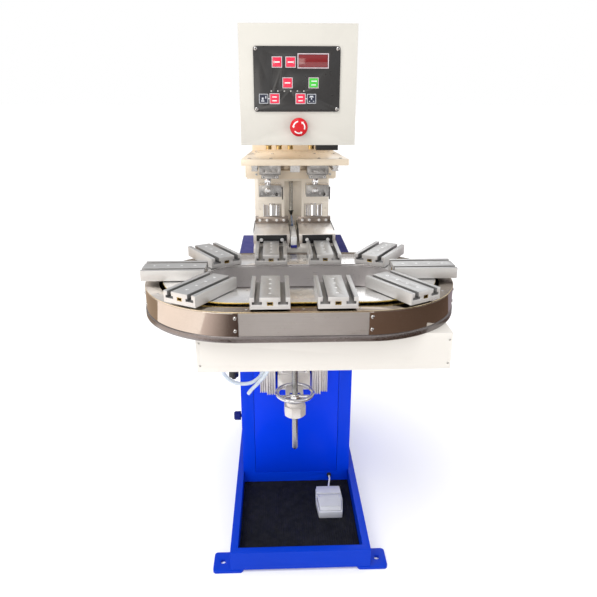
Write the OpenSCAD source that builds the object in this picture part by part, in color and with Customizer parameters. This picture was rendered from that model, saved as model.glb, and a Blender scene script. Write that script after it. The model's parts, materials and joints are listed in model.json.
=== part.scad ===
// Two-station pad printer with a ten-place oval conveyor on a sheet-steel pedestal.
// Millimetres. +X right, +Y back, +Z up. Origin: centre of the base outline, on the floor.

/* [Base] */
// Width over the base rails
base_w = 355; // [340:1:380]
// Depth of the base
base_d = 740; // [720:5:780]
// Height of the base rail's top above the floor
rail_top = 61; // [55:1:70]
// Width of one base rail
rail_w = 19; // [15:1:19]
// Floor bolt spacing left to right
bolt_x = 396; // [390:1:400]
// Distance of the floor bolts in front of the middle
bolt_y = 340; // [330:1:345]
// Floor bolt hole diameter
bolt_d = 14; // [10:1:16]

/* [Column] */
// Column width
col_w = 320; // [310:1:322]
// Column depth
col_d = 380; // [360:5:380]
// Top of the column above the floor
col_top = 704; // [700:1:704]

/* [Conveyor] */
// Top of the inner plate above the floor
plate_z = 752.5; // [752:0.5:753]
// Half the straight length of the oval
half_l = 128; // [127:0.5:129]
// Centre line of the oval, front to back
oval_y = -260; // [-262:1:-258]
// Radius of the outer skirt about the end centres
skirt_r = 218; // [216:0.5:219]
// Outer radius of the inner plate
plate_r = 179; // [176:0.5:180]
// Radius of the open pit
pit_r = 90; // [86:1:92]
// Carrier pitch along the chain
pitch = 131; // [130.5:0.1:131.5]

/* [Work plates] */
// Length of one T-slot work plate
jig_l = 140; // [135:1:148]
// Width of one T-slot work plate
jig_w = 78; // [74:1:80]
// Thickness of one T-slot work plate
jig_h = 24; // [22:0.5:24]
// T-slot opening width
slot_w = 10; // [8:0.5:10.5]
// Distance from the end centres to the middle of a work plate
jig_r = 153; // [151:0.5:154]

/* [Lift] */
// Diameter of the lift screw
screw_d = 16; // [15:0.5:16]
// Outer diameter of the handwheel
wheel_d = 104; // [100:1:108]
// Sideways offset of the lift from the middle
lift_x = -8; // [-10:1:-4]

/* [Print head] */
// Sideways offset of the print head from the middle
head_x = -4; // [-6:1:-2]
// Distance from the head's middle to each print station
station = 63; // [61:1:64]

/* [Controls] */
// Width of the control box
box_w = 259; // [250:1:262]
// Height of the control box
box_h = 253; // [245:1:256]
// Key size
key_s = 19; // [16:1:19]
// Emergency stop head diameter
estop_d = 40; // [36:1:42]

/* [Hidden] */
$fn = 64;

col_f = -38;                       // column front face
col_b = col_f + col_d;             // column rear face
ring_z = plate_z - 5;              // outer ring top
skirt_b = ring_z - 51.5;           // skirt bottom, base plate top
bp_b = skirt_b - 13;               // base plate underside
jig_b = plate_z + 26 - jig_h;      // underside of a work plate
chain_r = (10 * pitch - 4 * half_l) / (2 * PI);
sp_r = 31;                         // sprocket pitch radius
sp_c = [half_l + (chain_r + sp_r) * cos(45), oval_y + (chain_r + sp_r) * sin(45)];
d_ang = (pitch - (half_l - pitch / 2)) / chain_r * 180 / PI;   // corner carrier, from the front normal
s_ang = pitch / chain_r * 180 / PI;
box_x0 = -218; box_x1 = 308; box_y0 = -442; box_y1 = -112; box_b = 602;
wheel_y = -170; wheel_z = 401;
cb_f = -160; cb_b = -40; cb_z = 1032.6;
pan_x = -3; pan_z = 1172.8; pan_w = 190; pan_h = 135;
keys = [[-46.5, 1208], [-16.8, 1208], [-23.6, 1165.6], [-52.4, 1132.7], [5.2, 1132.7], [33.8, 1165.7]];
es = [1, 1073];
tray_z0 = 769; tray_z1 = 793;
fs = [91, -155];                   // foot switch centre
mat_t = 23.5;

function lerp(a, b, t) = a + (b - a) * t;

// Rounded rectangle, corner at the origin
module rrect(w, h, r) {
    hull() for (x = [r, w - r], y = [r, h - r]) translate([x, y]) circle(r, $fn = 32);
}
// Plate given by its two corners
module blk(a, b) { translate(a) cube(b - a); }
// Filled oval of radius r about the two end centres
module oval(r, l = half_l) {
    translate([0, oval_y]) {
        translate([-l, -r]) square([2 * l, 2 * r]);
        for (s = [-1, 1]) translate([s * l, 0]) circle(r, $fn = 128);
    }
}
module oval_band(r0, r1, z0, z1) {
    translate([0, 0, z0]) linear_extrude(z1 - z0) difference() { oval(r1); oval(r0); }
}
// Upright button-head screw, head on top
module pan_head(r, h) { cylinder(r = r, h = h * 0.5, $fn = 24); translate([0, 0, h * 0.5]) cylinder(r = r * 0.7, h = h * 0.5, $fn = 24); }
// Same, its axis along -Y
module pan_front(x, y, z, r, h) { translate([x, y, z]) rotate([90, 0, 0]) pan_head(r, h); }

// Tube swept along points, a ring at each point
function unit(v) = v / norm(v);
function tang(p, i) = unit(p[min(i + 1, len(p) - 1)] - p[max(i - 1, 0)]);
function ringpts(p, i, r, n, up) = let(t = tang(p, i), a = unit(cross(t, up)), b = cross(t, a))
    [for (k = [0 : n - 1]) p[i] + r * (a * cos(360 * k / n) + b * sin(360 * k / n))];
module tube(p, r, n, up) {
    m = len(p);
    pts = [for (i = [0 : m - 1]) each ringpts(p, i, r, n, up)];
    faces = concat([[for (k = [n - 1 : -1 : 0]) k]],
        [for (i = [0 : m - 2], k = [0 : n - 1]) [i * n + k, i * n + (k + 1) % n, (i + 1) * n + (k + 1) % n]],
        [for (i = [0 : m - 2], k = [0 : n - 1]) [i * n + k, (i + 1) * n + (k + 1) % n, (i + 1) * n + k]],
        [[for (k = [0 : n - 1]) (m - 1) * n + k]]);
    polyhedron(pts, [for (f = faces) [for (j = [len(f) - 1 : -1 : 0]) f[j]]]);
}
// Catmull-Rom points between the route's own points
function cr(p0, p1, p2, p3, t) = 0.5 * ((2 * p1) + (p2 - p0) * t + (2 * p0 - 5 * p1 + 4 * p2 - p3) * t * t + (3 * p1 - p0 - 3 * p2 + p3) * t * t * t);
function smooth(p, n) = concat([for (i = [0 : len(p) - 2], k = [0 : n - 1])
    cr(p[max(i - 1, 0)], p[i], p[i + 1], p[min(i + 2, len(p) - 1)], k / n)], [p[len(p) - 1]]);

// Route of the air hose, gland to gland under the drive box
hose = [[-201, -160, 590], [-201, -159, 560], [-201, -157, 530], [-201, -154, 500], [-200, -151, 470], [-193, -148, 446],
    [-178, -146, 427], [-160, -145, 418], [-142, -145, 416], [-124, -145, 419], [-107, -146, 430], [-94, -148, 447], [-86, -151, 472],
    [-85, -154, 500], [-85, -157, 530], [-85, -159, 560], [-85, -160, 590]];
// Route of the short open hose beside it
tail = [[-70, -176, 590], [-70, -176, 560], [-70, -175, 530], [-72, -173, 500], [-76, -171, 475], [-84, -168, 455], [-96, -166, 438],
    [-109, -165, 423], [-121, -164, 410], [-131, -163, 396]];
// Route of the foot switch lead, column grommet to switch
lead = [[100, -46, 44], [100, -52, 44], [100, -58, 43], [99, -64, 42], [98, -70, 41], [97, -76, 40], [96, -82, 40], [95, -88, 40], [94, -94, 40], [94, -98, 40]];

module base_frame() color([0.05, 0.2, 0.8]) {
    w = base_w / 2; d = base_d / 2;
    difference() {
        blk([-w, -d, 8], [w, d, rail_top]);
        blk([-w + rail_w, -d + rail_w, 14], [w - rail_w, d - rail_w, rail_top + 1]);
    }
    // front feet, drilled for floor bolts, and plain rear pads
    for (sx = [-1, 1]) {
        difference() {
            translate([sx > 0 ? 145 : -222, -d - 2, 0]) linear_extrude(8) rrect(77, 64, 9);
            translate([sx * bolt_x / 2, -bolt_y, -1]) cylinder(d = bolt_d, h = 10);
        }
        translate([sx > 0 ? 105 : -175, d - 66, 0]) linear_extrude(8) rrect(70, 64, 9);
    }
}

module foot_mat() color([0.05, 0.05, 0.06]) {
    difference() {
        blk([-157.5, -350, 14], [157.5, col_f - 1, mat_t]);
        for (i = [0 : 50]) blk([-154.4 + i * 6.2, -347, mat_t - 1.6], [-151.4 + i * 6.2, col_f - 3, mat_t + 1]);
    }
}

module column_shell() color([0.05, 0.2, 0.8]) {
    w = col_w / 2;
    difference() {
        union() {
            // foot of the shell between the base rails, then the full width above them
            blk([-base_w / 2 + rail_w + 0.5, col_f, 14], [base_w / 2 - rail_w - 0.5, col_b, rail_top + 2]);
            blk([-w, col_f, rail_top + 1], [w, col_b, col_top]);
        }
        blk([-w + 5, col_f + 4, 18], [w - 5, col_b - 4, col_top - 4]);
        blk([-123.5, col_f - 1, 55], [123.5, col_f + 5, 576]);
        blk([-138, col_b - 5, 90], [138, col_b + 1, 610]);
        // hole of the foot switch lead
        translate([100, col_f - 1, 44]) rotate([-90, 0, 0]) cylinder(r = 5, h = 8);
    }
    // hinge lugs and pins for the rear door
    for (z = [150, 530]) {
        blk([-157, col_b, z - 26], [-151, col_b + 10, z - 15]);
        blk([-157, col_b, z + 15], [-151, col_b + 10, z + 26]);
        translate([-150, col_b + 7, z - 26]) cylinder(r = 5, h = 11);
        translate([-150, col_b + 7, z + 15]) cylinder(r = 5, h = 11);
        translate([-150, col_b + 7, z - 26]) cylinder(r = 3, h = 52);
    }
}

module column_front_panel() color([0.05, 0.2, 0.8]) {
    blk([-122.5, col_f, 56], [122.5, col_f + 3, 575]);
    blk([-118, col_f + 3, 64], [118, col_f + 4, 560]);
}

module air_filter() color([0.06, 0.06, 0.07]) {
    x = -col_w / 2;
    blk([x - 5, -34, 440], [x, 8, 500]);
    blk([x - 34, -36, 446], [x - 5, 10, 492]);
    translate([x - 20, -13, 372]) cylinder(r = 14, h = 75);
    translate([x - 20, -13, 364]) cylinder(r = 6, h = 9);
    translate([x - 20, 10, 468]) rotate([-90, 0, 0]) cylinder(r = 8, h = 12);
}

module lift_rails() color([0.7, 0.68, 0.65]) {
    for (s = [-1, 1]) translate([lift_x + s * 73, 0, 0]) {
        // fluted outer strip and the deeper inner strip beside it
        translate([0, 0, 348]) linear_extrude(283) difference() {
            translate([s > 0 ? 2 : -21.5, -72]) square([19.5, 34]);
            for (i = [0 : 2]) translate([(s > 0 ? 4.5 : -19) + i * 6, -73]) square([2.5, 7]);
        }
        translate([0, 0, 345]) linear_extrude(286) difference() {
            translate([s > 0 ? -21.5 : -2, -80]) square([23.5, 42]);
            for (i = [0 : 2]) translate([(s > 0 ? -18.5 : 1) + i * 6.5, -81]) square([3, 8]);
            translate([s > 0 ? -22 : 16, -62]) square([6, 12]);
        }
    }
}

module lift_bracket() color([0.72, 0.7, 0.67]) difference() {
    union() {
        blk([lift_x - 45, -92, 392], [lift_x + 45, col_f, 414]);
        blk([lift_x - 43, -90, 414], [lift_x + 43, col_f, 448]);
        blk([lift_x - 45, -92, 367], [lift_x + 45, -60, 392]);
        blk([lift_x - 24, wheel_y, 367], [lift_x + 24, -60, 379]);
        translate([lift_x, wheel_y, 367]) cylinder(r = 24, h = 12);
        // eight-sided nut housing with a rounded lower rim
        translate([lift_x, wheel_y, 336]) intersection() {
            rotate([0, 0, 27.5]) cylinder(r = 29.8, h = 31, $fn = 8);
            union() { cylinder(r1 = 25, r2 = 32, h = 6); translate([0, 0, 6]) cylinder(r = 32, h = 25); }
        }
        for (s = [-1, 1]) for (z = [424, 438]) pan_front(lift_x + s * 32, -90, z, 4, 3);
    }
    translate([lift_x, wheel_y, 330]) cylinder(r = 13.05, h = 60);
}

module handwheel_nut() color([0.4, 0.38, 0.35]) translate([lift_x, wheel_y, 0]) difference() {
    union() {
        translate([0, 0, 336]) cylinder(r = 13, h = 44.3);
        translate([0, 0, 379.3]) cylinder(r = 18, h = 8);
        translate([0, 0, 330.5]) cylinder(r = 17, h = 5.2);
        translate([0, 0, 335]) cylinder(r = 13, h = 8);
    }
    translate([0, 0, 310]) cylinder(r = screw_d / 2 + 0.05, h = 100);
}

module handwheel() color([0.85, 0.85, 0.87]) translate([lift_x, wheel_y, 0]) {
    translate([0, 0, wheel_z]) rotate_extrude($fn = 96) translate([wheel_d / 2 - 5.2, 0]) circle(5.2, $fn = 24);
    difference() {
        union() {
            translate([0, 0, 387.3]) cylinder(r = 15, h = 14);
            for (i = [0 : 2]) rotate([0, 0, 90 + i * 120]) translate([12, 0, 394]) rotate([0, 80, 0])
                cylinder(r = 4, h = wheel_d / 2 - 15);
        }
        translate([0, 0, 380]) cylinder(r = screw_d / 2 + 0.05, h = 40);
    }
}

module lift_screw() color([0.72, 0.72, 0.74]) translate([lift_x, wheel_y, 0]) {
    translate([0, 0, 234]) cylinder(d = screw_d, h = box_b - 234);
    translate([0, 0, 230]) cylinder(r1 = screw_d / 2 - 3, r2 = screw_d / 2, h = 4);
    translate([0, 0, box_b - 12]) cylinder(r = 20, h = 12);
}

module lift_carriage() color([0.66, 0.66, 0.68]) {
    blk([lift_x - 100, box_y1, 500], [lift_x + 100, -96, bp_b]);
    blk([lift_x - 50, -96, 510], [lift_x + 50, -44, bp_b]);
    blk([lift_x - 54, -59, 520], [lift_x + 54, -53, 618]);
}

module drive_box() color([0.93, 0.91, 0.86]) difference() {
    union() {
        blk([box_x0, box_y0, box_b], [box_x1, box_y1, bp_b]);
        // glands of the air hose
        for (p = [hose[0], hose[len(hose) - 1], tail[0]]) translate([p[0], p[1], box_b - 12]) cylinder(r = 7.5, h = 13);
    }
    blk([box_x0 + 2.5, box_y0 + 2.5, box_b + 2.5], [box_x1 - 2.5, box_y1 - 2.5, bp_b - 2.5]);
    translate([sp_c[0] - 30, sp_c[1] - 30, bp_b - 4]) cube([60, 60, 6]);
    for (p = [[box_x0 + 7, 617], [box_x1 - 6, 668], [box_x1 - 6, 615], [box_x0 + 7, 668]])
        translate([p[0], box_y0 - 1, p[1]]) rotate([-90, 0, 0]) cylinder(r = 2.2, h = 3);
}

module base_plate() color([0.72, 0.71, 0.7]) difference() {
    translate([0, 0, bp_b]) linear_extrude(13) oval(skirt_r + 2);
    translate([sp_c[0], sp_c[1], bp_b - 1]) cylinder(r = 12, h = 20);
}

module skirt_panels() color([0.76, 0.75, 0.74]) for (s = [-1, 1])
    blk([-half_l + 0.5, oval_y + (s > 0 ? skirt_r - 2.4 : -skirt_r + 0.4), skirt_b],
        [half_l - 0.5, oval_y + (s > 0 ? skirt_r - 0.4 : -skirt_r + 2.4), ring_z - 3]);

module skirt_bands() color([0.5, 0.44, 0.38]) for (s = [-1, 1])
    translate([0, 0, skirt_b]) linear_extrude(ring_z - 3 - skirt_b) difference() {
        translate([s * half_l, oval_y]) circle(skirt_r, $fn = 128);
        translate([s * half_l, oval_y]) circle(skirt_r - 2.2, $fn = 128);
        translate([s > 0 ? -half_l : 0, oval_y - 300]) square([half_l * 2 - (s > 0 ? 0 : half_l), 600]);
        translate([s > 0 ? -300 : -half_l, oval_y - 300]) square([300 + (s > 0 ? half_l : half_l), 600]);
    }

module skirt_screws() color([0.8, 0.8, 0.82]) {
    for (s = [-1, 1], z = [skirt_b + 12, ring_z - 13], a = [1.6, 75])
        translate([s * half_l, oval_y, z]) rotate([0, 0, s > 0 ? -90 + a : -90 - a])
            translate([skirt_r, 0, 0]) rotate([0, 90, 0]) pan_head(3.4, 2.4);
}

module pit_wall() color([0.62, 0.6, 0.58]) oval_band(pit_r, pit_r + 4, skirt_b, plate_z - 4);

module outer_ring() color([0.6, 0.54, 0.46]) oval_band(plate_r + 8, skirt_r, ring_z - 3, ring_z);

module inner_plate() color([0.86, 0.86, 0.87]) oval_band(pit_r, plate_r, plate_z - 4, plate_z);

module conveyor_chain() color([0.35, 0.35, 0.36]) {
    oval_band(chain_r - 3, chain_r + 3, skirt_b + 16, skirt_b + 26);
    oval_band(chain_r - 8, chain_r + 3, skirt_b, skirt_b + 15.7);
}

module drive_sprocket() color([0.45, 0.45, 0.47]) translate([sp_c[0], sp_c[1], 0]) {
    translate([0, 0, skirt_b + 17]) linear_extrude(8) difference() {
        circle(sp_r - 3.5);
        for (i = [0 : 14]) rotate([0, 0, i * 24]) translate([sp_r - 1.5, 0]) circle(4, $fn = 24);
    }
    translate([0, 0, bp_b - 12]) cylinder(r = 6, h = 45);
    translate([0, 0, skirt_b + 8]) cylinder(r = 12, h = 9);
}

module drive_motor() color([0.2, 0.2, 0.22]) translate([sp_c[0], sp_c[1], 0]) {
    difference() {
        union() {
            translate([-28, -28, bp_b - 14]) cube([56, 56, 14]);
            translate([0, 0, box_b + 6]) cylinder(r = 26, h = bp_b - 14 - box_b - 6);
        }
        translate([0, 0, bp_b - 14.5]) cylinder(r = 6.05, h = 20);
    }
}

module air_hose() color([0.82, 0.88, 0.95]) {
    tube(smooth(hose, 2), 5, 10, [0, 1, 0]);
    tube(smooth(tail, 2), 5, 10, [0, 1, 0]);
}

// T-slot work plate with its carrier, long axis along -Y, middle of the plate at the origin
module jig() {
    color([0.75, 0.75, 0.75]) translate([0, 0, jig_b]) difference() {
        translate([0, jig_l / 2, 0]) rotate([90, 0, 0]) linear_extrude(jig_l) difference() {
            translate([-jig_w / 2, 0]) square([jig_w, jig_h]);
            for (s = [-1, 1]) {
                translate([s * 25 - slot_w / 2, jig_h - 13.5]) square([slot_w, jig_h]);
                translate([s * 25 - 9.5, jig_h - 14.5]) square([19, 5.5]);
            }
        }
        for (y = [-45, -15, 15, 45]) translate([0, y, jig_h - 12]) cylinder(d = 5, h = 13);
        for (s = [-1, 1]) translate([-6, s * (jig_l / 2 - 6) - 7, jig_h - 16.5]) cube([12, 14, 7.5]);
    }
    o = jig_r;      // distance back to the end centre
    color([0.12, 0.12, 0.13]) {
        blk([-26, o - (plate_r - 6), plate_z + 0.4], [26, o - (pit_r + 6), jig_b]);
        blk([-8, o - (plate_r + 7), plate_z + 0.4], [8, o - (plate_r - 6), jig_b]);
        blk([-8, o - (plate_r + 6), skirt_b + 31], [8, o - (plate_r + 1), plate_z + 0.4]);
        blk([-8, o - (plate_r + 6), skirt_b + 27], [8, o - (chain_r - 4), skirt_b + 34]);
    }
}
function jig_pose(i) =
    i == 1 ? [-pitch / 2, 0] : i == 10 ? [pitch / 2, 0] :
    i == 2 ? [-half_l, -d_ang] : i == 3 ? [-half_l, -90] : i == 4 ? [-half_l, -180 + d_ang] :
    i == 5 ? [-pitch / 2, 180] : i == 6 ? [pitch / 2, 180] :
    i == 7 ? [half_l, 180 - d_ang] : i == 8 ? [half_l, 90] : [half_l, d_ang];
module place_jig(i) { p = jig_pose(i); translate([p[0], oval_y, 0]) rotate([0, 0, p[1]]) translate([0, -jig_r, 0]) jig(); }

module footswitch_base() color([0.82, 0.83, 0.84]) translate([fs[0], fs[1], mat_t]) difference() {
    union() {
        linear_extrude(19) polygon([[-36, 50], [-34, 52], [34, 52], [36, 50], [38.5, 4], [33, -50], [31, -52], [-31, -52], [-33, -50], [-38.5, 4]]);
        // rear cover over the switch
        translate([0, 0, 19]) linear_extrude(8) polygon([[-35.5, 20], [-34, 50], [-32, 51.5], [32, 51.5], [34, 50], [35.5, 20]]);
        translate([3, 57, 16.5]) rotate([90, 0, 0]) cylinder(r = 4, h = 6);
    }
    translate([0, 0, 8]) linear_extrude(12) polygon([[-33, 19.5], [33, 19.5], [35, 2], [30, -46], [-30, -46], [-35, 2]]);
}
module footswitch_pin() translate([fs[0] - 34.5, fs[1] + 14, mat_t + 16]) rotate([0, 90, 0]) cylinder(r = 2, h = 69);

module footswitch_pedal() color([0.86, 0.87, 0.88]) translate([fs[0], fs[1], mat_t]) difference() {
    union() {
        // treadle, narrower to the front
        intersection() {
            translate([40, 0, 0]) rotate([0, -90, 0]) linear_extrude(80)
                polygon([[14, 18.6], [24, 18.6], [25.5, 17], [27, 4], [24.5, -30], [20.5, -45], [15.5, -45], [17, -28], [17, 8], [12, 12], [12, 18.6]]);
            linear_extrude(40) polygon([[-32, 19], [32, 19], [33.8, 2], [29, -45.2], [-29, -45.2], [-33.8, 2]]);
        }
        // ribs across it
        for (i = [0 : 10]) translate([-27, -34 + i * 4.2, 22.8 + min(i, 9) * 0.3]) cube([54, 2, 2.4]);
    }
    translate([-40, 14, 16]) rotate([0, 90, 0]) cylinder(r = 2.05, h = 80);
}

module footswitch_cord() color([0.9, 0.9, 0.9]) tube(lead, 2.5, 8, [1, 0, 0.2]);

module side_latch() color([0.04, 0.12, 0.55]) {
    x = -col_w / 2;
    translate([x - 20, -22, 246]) rotate([0, 90, 0]) { cylinder(r = 13, h = 17); translate([0, 0, 17]) cylinder(r = 5, h = 2.8); }
    blk([x - 23, -24.5, 235], [x - 20, -19.5, 257]);
}

module rear_door() color([0.05, 0.2, 0.8]) difference() {
    union() {
        blk([-136, col_b - 3, 92], [136, col_b, 608]);
        blk([-142, col_b + 0.6, 100], [136, col_b + 2.6, 600]);
        blk([-136, col_b - 0.2, 110], [-100, col_b + 1, 590]);
        for (z = [150, 530]) {
            blk([-150, col_b + 2.1, z - 14.5], [-136, col_b + 5.1, z + 14.5]);
            translate([-150, col_b + 7, z - 14.5]) cylinder(r = 5, h = 29);
        }
        translate([118, col_b + 2.6, 350]) rotate([-90, 0, 0]) cylinder(r = 12, h = 8);
    }
    for (z = [150, 530]) translate([-150, col_b + 7, z - 20]) cylinder(r = 3.05, h = 40);
    for (i = [0 : 5]) blk([-50, col_b - 4, 480 + i * 14], [50, col_b + 4, 486 + i * 14]);
}

module head_base() color([0.93, 0.9, 0.83]) {
    blk([head_x - 112, -24, col_top], [head_x + 112, 330, 716]);
    difference() {
        blk([head_x - 109, -24, 716], [head_x + 109, 330, 756]);
        blk([head_x - 100, 20, 710], [head_x + 100, 320, 748]);
    }
    for (s = [-1, 1]) blk([head_x + s * 60.5 - 46, -22, 756], [head_x + s * 60.5 + 46, 200, tray_z0]);
    // tongue between the trays
    blk([head_x - 10, -27, 756], [head_x + 6, 196, 786]);
}

module cliche_trays() color([0.8, 0.78, 0.76]) for (s = [-1, 1]) translate([head_x + s * 60.5, 0, 0]) {
    difference() {
        blk([-48, -25, tray_z0], [48, 205, tray_z1]);
        for (x = [-27.4, 27.4]) translate([x, -26, 779]) rotate([-90, 0, 0]) cylinder(r = 2.5, h = 13);
    }
}

module clamp_strips() color([0.07, 0.07, 0.08]) for (s = [-1, 1]) translate([head_x + s * 60.5, 0, 0]) {
    difference() {
        blk([-40, -28.5, tray_z0 + 0.5], [40, -25, tray_z1 - 2]);
        for (x = [-27.4, 27.4]) translate([x, -30, 779]) rotate([-90, 0, 0]) cylinder(r = 3, h = 10);
    }
    for (x = [-27.4, 27.4]) translate([x, -25, 779]) rotate([90, 0, 0]) difference() {
        union() { cylinder(r = 2.9, h = 3.5, $fn = 24); translate([0, 0, 3.5]) cylinder(r = 4.6, h = 2.6, $fn = 24); }
        translate([0, 0, 4.4]) cylinder(r = 2, h = 3, $fn = 6);
    }
    // side seals
    for (x = [-1, 1]) blk([x * 49 - 0.95, 26, tray_z1 - 12], [x * 49 + 0.95, 150, tray_z1 + 1]);
}

module head_frame() color([0.92, 0.89, 0.83]) translate([head_x, 0, 0]) {
    difference() {
        blk([-112, 236, 756], [112, 326, 905]);
        blk([-108, 240, 750], [108, 322, 901]);
    }
    blk([-111, 229, 770], [-8, 236, 905]);
    blk([4, 229, 770], [111, 236, 905]);
    difference() { blk([-66, 164, 905], [66, 326, 976]); blk([-60, 170, 901], [60, 320, 970]); }
    // air tube with its nozzle between the stations
    translate([-3, 210, 812]) cylinder(r = 6, h = 93);
    translate([-3, 210, 798]) cylinder(r1 = 3, r2 = 8, h = 14);
    blk([-7, 210, 880], [1, 232, 890]);
}

module carriage_rails() color([0.6, 0.6, 0.62]) {
    for (s = [-1, 1]) translate([head_x + s * 100, 156, 962.3]) rotate([90, 0, 0]) linear_extrude(225)
        polygon([[-7.5, 0], [7.5, 0], [7.5, 3.5], [5, 6], [7.5, 8.5], [7.5, 13.7], [-7.5, 13.7], [-7.5, 8.5], [-5, 6], [-7.5, 3.5]]);
    // stroke tube of the carriage and its end blocks
    translate([head_x, 156, 967.5]) rotate([90, 0, 0]) cylinder(r = 6, h = 225);
    blk([head_x - 12, -69.5, 960], [head_x + 12, -63, 976]);
    blk([head_x - 12, 146, 960], [head_x + 12, 156, 976]);
}

module top_plate() color([0.88, 0.82, 0.74]) translate([0, 0, 976]) linear_extrude(15.5) translate([head_x, 0]) union() {
    polygon([[-133, -70], [133, -70], [114.5, 158], [-114.5, 158]]);
    translate([-66, 157]) square([132, 169]);
}

module head_carriage() color([0.75, 0.74, 0.72]) translate([head_x, 0, 0]) {
    // crossbeam with its end blocks and the yoke of the stroke tube
    difference() {
        union() {
            blk([-126, 76, 924], [112, 112, 946]);
            blk([-130, 76, 928], [-86, 112, 962]);
            blk([86, 76, 926], [116, 112, 962]);
            blk([-14, 94, 945], [14, 112, 974.5]);
        }
        translate([0, 75, 967.5]) rotate([-90, 0, 0]) cylinder(r = 6.05, h = 40);
    }
    for (s = [-1, 1]) {
        translate([s * station, 0, 0]) {
            blk([-28, 76, 945], [28, 112, 961]);
            difference() {
                blk([-28, 20, 942], [28, 76, 974]);
                translate([-6, 48, 930]) cylinder(r = 9.05, h = 40);
                for (x = [-14, 4, 18]) translate([x, 19, 952]) rotate([-90, 0, 0]) cylinder(r = 2.2, h = 9);
            }
            // guide rod of the pad stroke
            translate([-6, 48, 902]) cylinder(r = 5, h = 69);
        }
        // shoes that hold the rail
        for (t = [-1, 1]) {
            blk([s * 100 + t * 10.5 - 2.5, 88, 960], [s * 100 + t * 10.5 + 2.5, 112, 973]);
            blk([s * 100 + t * 7.15 - 0.95, 88, 967.5], [s * 100 + t * 7.15 + 0.95, 112, 969.1]);
        }
        // notched plate down to the ink cup bar
        translate([s * 61, 0, 0]) difference() {
            blk([-37, 112, 812], [37, 119, 955]);
            blk([s > 0 ? -29 : -23, 111, 811], [s > 0 ? 23 : 29, 120, 850]);
            blk([s > 0 ? 19 : -38, 111, 854], [s > 0 ? 38 : -19, 120, 867]);
            translate([s * 30, 111, 836]) rotate([-90, 0, 0]) cylinder(r = 3, h = 10);
        }
    }
}

module ink_cups() color([0.85, 0.85, 0.87]) for (s = [-1, 1]) translate([head_x + s * 60.5, 0, 0]) {
    difference() {
        blk([-46.5, 112, tray_z1 + 0.4], [46.5, 124, 812]);
        for (x = [-34, -14, 14, 34]) translate([x, 111, 802]) rotate([-90, 0, 0]) cylinder(r = 2.6, h = 9);
    }
    for (x = [-34, -14, 14, 34]) translate([x, 112, 802]) rotate([90, 0, 0]) pan_head(4, 2);
    translate([0, 163, tray_z1 + 0.4]) { cylinder(r = 31, h = 9); cylinder(r = 26, h = 47); translate([0, 0, 47]) cylinder(r = 9, h = 6); }
    blk([-20, 120, 802], [20, 139, 810]);
}

// Stroke slide: shaft, screw plate, clamp block and its small lever
module pad_slide(s) color([0.7, 0.7, 0.72]) translate([head_x + s * station, 0, 0]) {
    difference() { translate([-6, 48, 913]) cylinder(r = 9, h = 53); translate([-6, 48, 880]) cylinder(r = 5.05, h = 90); }
    translate([-23, 22, 931.6]) difference() { cube([46, 52, 9.6]); translate([17, 26, -1]) cylinder(r = 8.5, h = 12); for (x = [6, 40]) translate([x, -1, 4.8]) rotate([-90, 0, 0]) cylinder(r = 2.4, h = 8); }
    difference() {
        union() {
            blk([-30, 22, 884], [30, 76, 914]);
            blk([-26, 18, 890], [12, 22, 912]);
        }
        translate([17, 21, 890]) rotate([-90, 0, 0]) cylinder(r = 4.2, h = 30);
        translate([-6, 48, 880]) cylinder(r = 5.05, h = 40);
        blk([-31, 44, 883], [31, 52, 888]);
    }
    translate([30, 30, 906]) rotate([0, 90, 0]) cylinder(r = 3, h = 4);
    blk([31, 27, 876], [34, 33, 909]);
}

module box_bracket() color([0.85, 0.8, 0.72]) translate([head_x, 0, 0]) {
    // upright on the rear edge of the top plate, shelf forward and flange on the box
    blk([-113, 150, 991.5], [115, 158, 1150]);
    blk([-70, cb_b + 8, 1142], [70, 150, 1150]);
    blk([-70, cb_b, 1050], [70, cb_b + 8, 1200]);
    for (x = [-66, 58]) translate([x, 0, 0]) rotate([90, 0, 90]) linear_extrude(8)
        polygon([[cb_b + 8, 1142], [150, 1142], [150, 1128], [cb_b + 8, 1062]]);
}

module control_box() color([0.93, 0.91, 0.85]) difference() {
    blk([-box_w / 2, cb_f, cb_z], [box_w / 2, cb_b, cb_z + box_h]);
    blk([-box_w / 2 + 3, cb_f + 3, cb_z + 3], [box_w / 2 - 3, cb_b - 3, cb_z + box_h - 3]);
    translate([es[0], cb_f - 1, es[1]]) rotate([-90, 0, 0]) cylinder(r = 11, h = 6);
    // shallow seam of the front cover
    difference() {
        blk([-box_w / 2 - 1, cb_f + 9, cb_z - 1], [box_w / 2 + 1, cb_f + 10, cb_z + box_h + 1]);
        blk([-box_w / 2 + 1, cb_f + 8, cb_z + 1], [box_w / 2 - 1, cb_f + 11, cb_z + box_h - 1]);
    }
}

module control_panel() color([0.12, 0.12, 0.12]) difference() {
    translate([pan_x - pan_w / 2, cb_f, pan_z - pan_h / 2]) rotate([90, 0, 0]) linear_extrude(3) rrect(pan_w, pan_h, 6);
    for (k = keys) blk([k[0] - key_s / 2 - 0.3, cb_f - 4, k[1] - key_s / 2 - 0.3], [k[0] + key_s / 2 + 0.3, cb_f - 1, k[1] + key_s / 2 + 0.3]);
    blk([0, cb_f - 4, 1197], [65, cb_f - 2, 1224]);
    for (i = [0 : 5]) translate([-59.5 + i * 14.4, cb_f - 4, 1148.6]) rotate([-90, 0, 0]) cylinder(r = 2, h = 2, $fn = 24);
}
module key(i) color(i == 6 ? [0.2, 0.8, 0.2] : [0.9, 0.1, 0.15])
    blk([keys[i - 1][0] - key_s / 2, cb_f - 4.2, keys[i - 1][1] - key_s / 2], [keys[i - 1][0] + key_s / 2, cb_f - 2.1, keys[i - 1][1] + key_s / 2]);

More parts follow.
